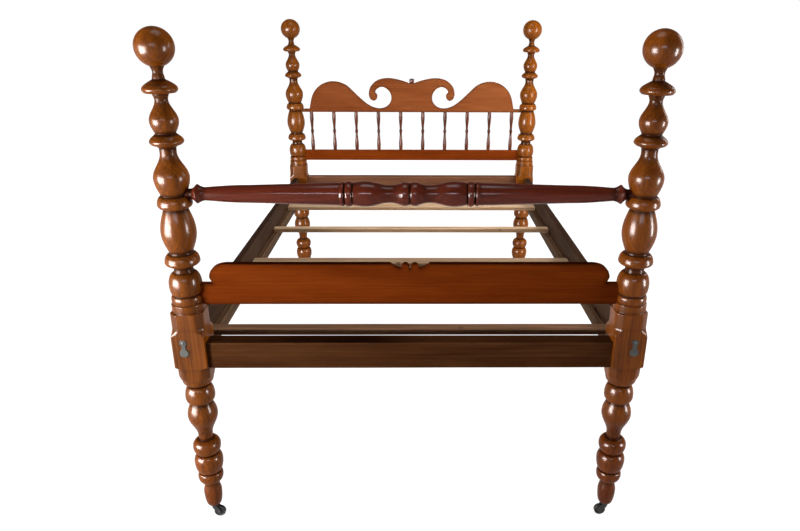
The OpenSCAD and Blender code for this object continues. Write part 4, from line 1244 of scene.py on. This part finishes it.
class BED_OT_casters(Operator):
    """Finishes the casters' sockets, horns, axles and wheels"""
    bl_idname = "bed.casters"
    bl_label = "Casters"

    def execute(self, context):
        iron = metal("caster_iron", context.scene.bed_finish.iron, colour("35261B"), 0.1)
        dress([frame["nodes"][f"caster_socket_{corner}"] for corner in CORNERS], iron)
        for corner in CORNERS:
            end, side = corner.split("_")
            post, wheel = middle(f"{end}_post_{side}"), middle(f"caster_wheel_{corner}")
            low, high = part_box(f"caster_wheel_{corner}")
            half, radius = (high.y - low.y) / 2 / MM, wheel.z / MM
            dress(self.horn(corner, post, wheel, half, radius), iron)
            dress([ring_piece(
                f"caster_wheel_turned_{corner}", wheel_profile(radius, half), wheel, "Y",
                f"wheel_{corner}", node=f"caster_wheel_{corner}", slot="iron"),
                self.axle(corner, wheel)], iron)
        return {"FINISHED"}

    def horn(self, corner, post, wheel, half, radius):
        """The crown with its stem, turned about the post's axis, and the two arms."""
        body, node = f"caster_{corner}", f"caster_horn_{corner}"
        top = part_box(f"caster_socket_{corner}")[0].z - 0.3 * MM
        crown = top - CROWN_HEIGHT * MM
        stem = (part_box(node)[1].z - top) / MM
        yield turned_piece(
            f"caster_crown_{corner}", (*CROWN_RUNS, (stem, STEM_RADIUS, "line")), CROWN_START,
            (post.x, post.y, crown), "Z", body, rows=90, ease=0.3, node=node, slot="iron")
        outline = arm_outline((crown / MM) - radius, abs(post.x - wheel.x) / MM)
        if corner.endswith("left"):
            outline = outline[::-1] * (-1, 1)
        for number, way in enumerate((-1, 1)):
            yield sawn_board(
                f"caster_arm_{number}_{corner}", outline * MM + (wheel.x, wheel.z),
                post.y + way * (half + ARM_GAP + ARM_THICKNESS / 2) * MM, ARM_THICKNESS * MM,
                0.7 * MM, body, node, "iron", spacing=PLATE_NET,
                holes=(round_hole(wheel.x, wheel.z, AXLE_HOLE * MM),))

    def axle(self, corner, wheel):
        """The axle with a low head at each end."""
        node = f"caster_axle_{corner}"
        low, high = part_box(node)
        runs = ((1.5, AXLE_HEAD, "swell"), (0.2, AXLE_RADIUS, "line"),
                ((high.y - low.y) / MM - 3.4, AXLE_RADIUS, "line"), (0.2, AXLE_HEAD, "line"),
                (1.5, 0.5, "sink"))
        return turned_piece(
            f"caster_axle_turned_{corner}", runs, 0.5, (wheel.x, low.y, wheel.z), "Y",
            f"caster_{corner}", columns=32, rows=70, ease=0.15, node=node, slot="steel")


def arm_outline(drop, trail):
    """Outline of a caster arm about its axle, anticlockwise: its front edge sweeps back from the
    crown by 1 - cos, its back edge by sin, and a boss closes it round the axle."""
    t = np.linspace(0, 1, 16)
    heights = drop + 1 - (drop + 1) * t
    near, far = trail + ARM_HALF_WIDTH, trail - ARM_HALF_WIDTH
    front = near - (near - BOSS_RADIUS * 0.8) * out("sink", t)
    back = far - (far + BOSS_RADIUS) * out("swell", t)
    return np.vstack([np.stack([back, heights], 1)[:-1],
                      arc((0, 0), BOSS_RADIUS, np.linspace(math.pi, 2 * math.pi - 0.25, 24)),
                      np.stack([front, heights], 1)[-2::-1]])


def wheel_profile(radius, half):
    """Half profile of a wheel with a hub, a sunk web and a round rim, and its mirror image."""
    web = half - WEB_DEPTH
    face = np.array([
        (AXLE_HOLE, half), (HUB_RADIUS, half), (HUB_RADIUS + 0.5, web), (radius - 4.5, web),
        (radius - 4, half), (radius - 2, half), (radius - 0.6, half - 0.8), (radius, half - 2.2)])
    return np.vstack([face[::-1], face * (1, -1)])


class BED_OT_stage(Operator):
    """Sets the floor, the room, the lamps and the camera"""
    bl_idname = "bed.stage"
    bl_label = "Stage"

    def execute(self, context):
        stage = context.scene.bed_stage
        scene = context.scene
        scene.view_settings.view_transform = "Standard"
        self.floor(stage)
        self.room(scene, stage)
        self.lamps(stage)
        self.camera(scene, stage)
        return {"FINISHED"}

    def lamps(self, stage):
        """Soft lamps that light the bed, and gleams that show only in its gloss."""
        low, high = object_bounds()
        bed = (low + high) / 2
        power, gleam = stage.lamp_power, stage.gleam_power
        self.lamp("left_lamp", (-2.6, -2.6, 0.9), bed, (0.8, 0.8), power, gloss=False)
        self.lamp("right_lamp", (3.0, -1.6, 0.9), bed, (0.8, 0.8), 0.44 * power, gloss=False)
        self.lamp("left_gleam", (-2.7, -2.5, 0.9), bed, (2.0, 1.5), 1.9 * gleam, shade=False)
        self.lamp("right_gleam", (3.1, -1.9, 0.9), bed, (0.6, 1.2), 0.48 * gleam, shade=False)
        self.lamp("middle_gleam", (-0.2, -4.4, 2.3), bed, (2.2, 0.2), 0.16 * gleam,
                  tint=(0.7, 0.82, 1), shade=False)
        self.lamp("head_lamp", (1.9, -0.1, 1.7), (0.7, 1.0, 1.15), (0.8, 0.8), stage.head_power)
        self.lamp("top_lamp", (0, -0.6, 4.6), bed, (1.8, 1.8), stage.top_power,
                  tint=(0.90, 0.95, 1))
        self.lamp("back_lamp", (-1.4, 4.6, 2.2), bed, (1.4, 1.0), stage.back_power, gloss=False)

    def floor(self, stage):
        """A wide pale floor. To the camera and in gloss it is white where no shadow falls."""
        corners = [(x * FLOOR_HALF, y * FLOOR_HALF, 0) for x, y in ((-1, -1), (1, -1), (1, 1), (-1, 1))]
        mesh = bpy.data.meshes.new("floor")
        mesh.from_pydata(corners, [], [(0, 1, 2, 3)])
        floor = bpy.data.objects.new("floor", mesh)
        bpy.context.scene.collection.objects.link(floor)
        s = Shader("floor")
        s.finish(tuple(stage.floor), 0.9, Specular_IOR_Level=0.1)
        away = s.vector("LENGTH", s.node("TexCoord").outputs["Object"])
        glow = s.node("Emission", (1.0, 1.0, 1.0), s.ramp(away, 1.6, 4.0, 0.9, 1.0))
        lit = s.node("AddShader", s.surface.outputs[0], glow.outputs[0])
        blend = s.node("MixShader", s.seen(), s.surface.outputs[0], lit.outputs[0])
        s.put(s.tree.nodes["Material Output"].inputs["Surface"], blend.outputs[0])
        floor.data.materials.append(s.material)
        floor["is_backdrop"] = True

    def room(self, scene, stage):
        """White for the camera and in gloss near the horizon, plain grey light for the rest."""
        world = bpy.data.worlds.new("room")
        scene.world = world
        world.use_nodes = True
        s = Nodes(world.node_tree)
        s.tree.nodes.clear()
        height = s.node("SeparateXYZ", s.node("TexCoord").outputs["Generated"]).outputs[2]
        white = s.math("MAXIMUM", s.node("LightPath").outputs["Is Camera Ray"],
                       s.ramp(height, 0.04, 0.12, 1.0, 0.12))
        light = s.node("Background", (0.95, 0.97, 1.0), stage.fill).outputs[0]
        backdrop = s.node("Background", s.grey(white), 1.0).outputs[0]
        blend = s.node("MixShader", s.seen(), light, backdrop).outputs[0]
        s.put(s.node("OutputWorld").inputs["Surface"], blend)

    def lamp(self, name, place, target, size, power, tint=(1.0, 1.0, 1.0), gloss=True, shade=True):
        """A soft rectangular lamp facing its target, seen in gloss, in plain shading or in both."""
        light = bpy.data.lights.new(name, "AREA")
        light.shape = "RECTANGLE"
        light.size, light.size_y = size
        light.energy = power
        light.color = tint
        lamp = bpy.data.objects.new(name, light)
        lamp.visible_glossy, lamp.visible_diffuse = gloss, shade
        bpy.context.scene.collection.objects.link(lamp)
        lamp.location = place
        lamp.rotation_euler = (Vector(target) - Vector(place)).to_track_quat("-Z", "Y").to_euler()

    def camera(self, scene, stage):
        """Stands in front of the foot end, a little above it, and looks down on the bed."""
        pitch, yaw, roll = (math.radians(turn) for turn in CAMERA_TURNS)
        ahead = Vector((math.sin(yaw) * math.cos(pitch), math.cos(yaw) * math.cos(pitch),
                        -math.sin(pitch)))
        right = Vector((math.cos(yaw), -math.sin(yaw), 0))
        up = right.cross(ahead)
        across = right * math.cos(roll) + up * math.sin(roll)
        rise = -right * math.sin(roll) + up * math.cos(roll)
        data = bpy.data.cameras.new("camera")
        data.lens = stage.lens
        data.shift_x, data.shift_y = CAMERA_SHIFT
        camera = bpy.data.objects.new("camera", data)
        scene.collection.objects.link(camera)
        turn = Matrix((across, rise, -ahead)).transposed().to_4x4()
        camera.matrix_world = Matrix.Translation(CAMERA_PLACE) @ turn
        scene.camera = camera


OPERATORS = (
    BED_OT_posts, BED_OT_blanket_roll, BED_OT_footboard, BED_OT_headboard, BED_OT_rails,
    BED_OT_ledgers, BED_OT_slats, BED_OT_bolts, BED_OT_casters, BED_OT_stage,
)


class BED_PT_panel(Panel):
    """Lists the bed's pieces and their settings"""
    bl_idname = "BED_PT_panel"
    bl_label = "Four poster bed"
    bl_space_type = "VIEW_3D"
    bl_region_type = "UI"
    bl_category = "Bed"

    def draw(self, context):
        layout = self.layout
        for operator in OPERATORS:
            layout.operator(operator.bl_idname)
        for group in (context.scene.bed_sizes, context.scene.bed_finish, context.scene.bed_stage):
            box = layout.box()
            for name in group.__annotations__:
                box.prop(group, name)


GROUPS = {"bed_sizes": BedSizes, "bed_finish": BedFinish, "bed_stage": BedStage}
CLASSES = (*GROUPS.values(), *OPERATORS, BED_PT_panel)


def register():
    """Registers the classes and hangs the settings on the scene."""
    for item in CLASSES:
        bpy.utils.register_class(item)
    for name, group in GROUPS.items():
        setattr(bpy.types.Scene, name, PointerProperty(type=group))


def unregister():
    """Takes the settings and the classes away again."""
    for name in GROUPS:
        delattr(bpy.types.Scene, name)
    for item in reversed(CLASSES):
        bpy.utils.unregister_class(item)


def main():
    """Makes every piece and the stage."""
    register()
    for operator in OPERATORS:
        group, name = operator.bl_idname.split(".")
        getattr(getattr(bpy.ops, group), name)()


if __name__ == "__main__":
    main()
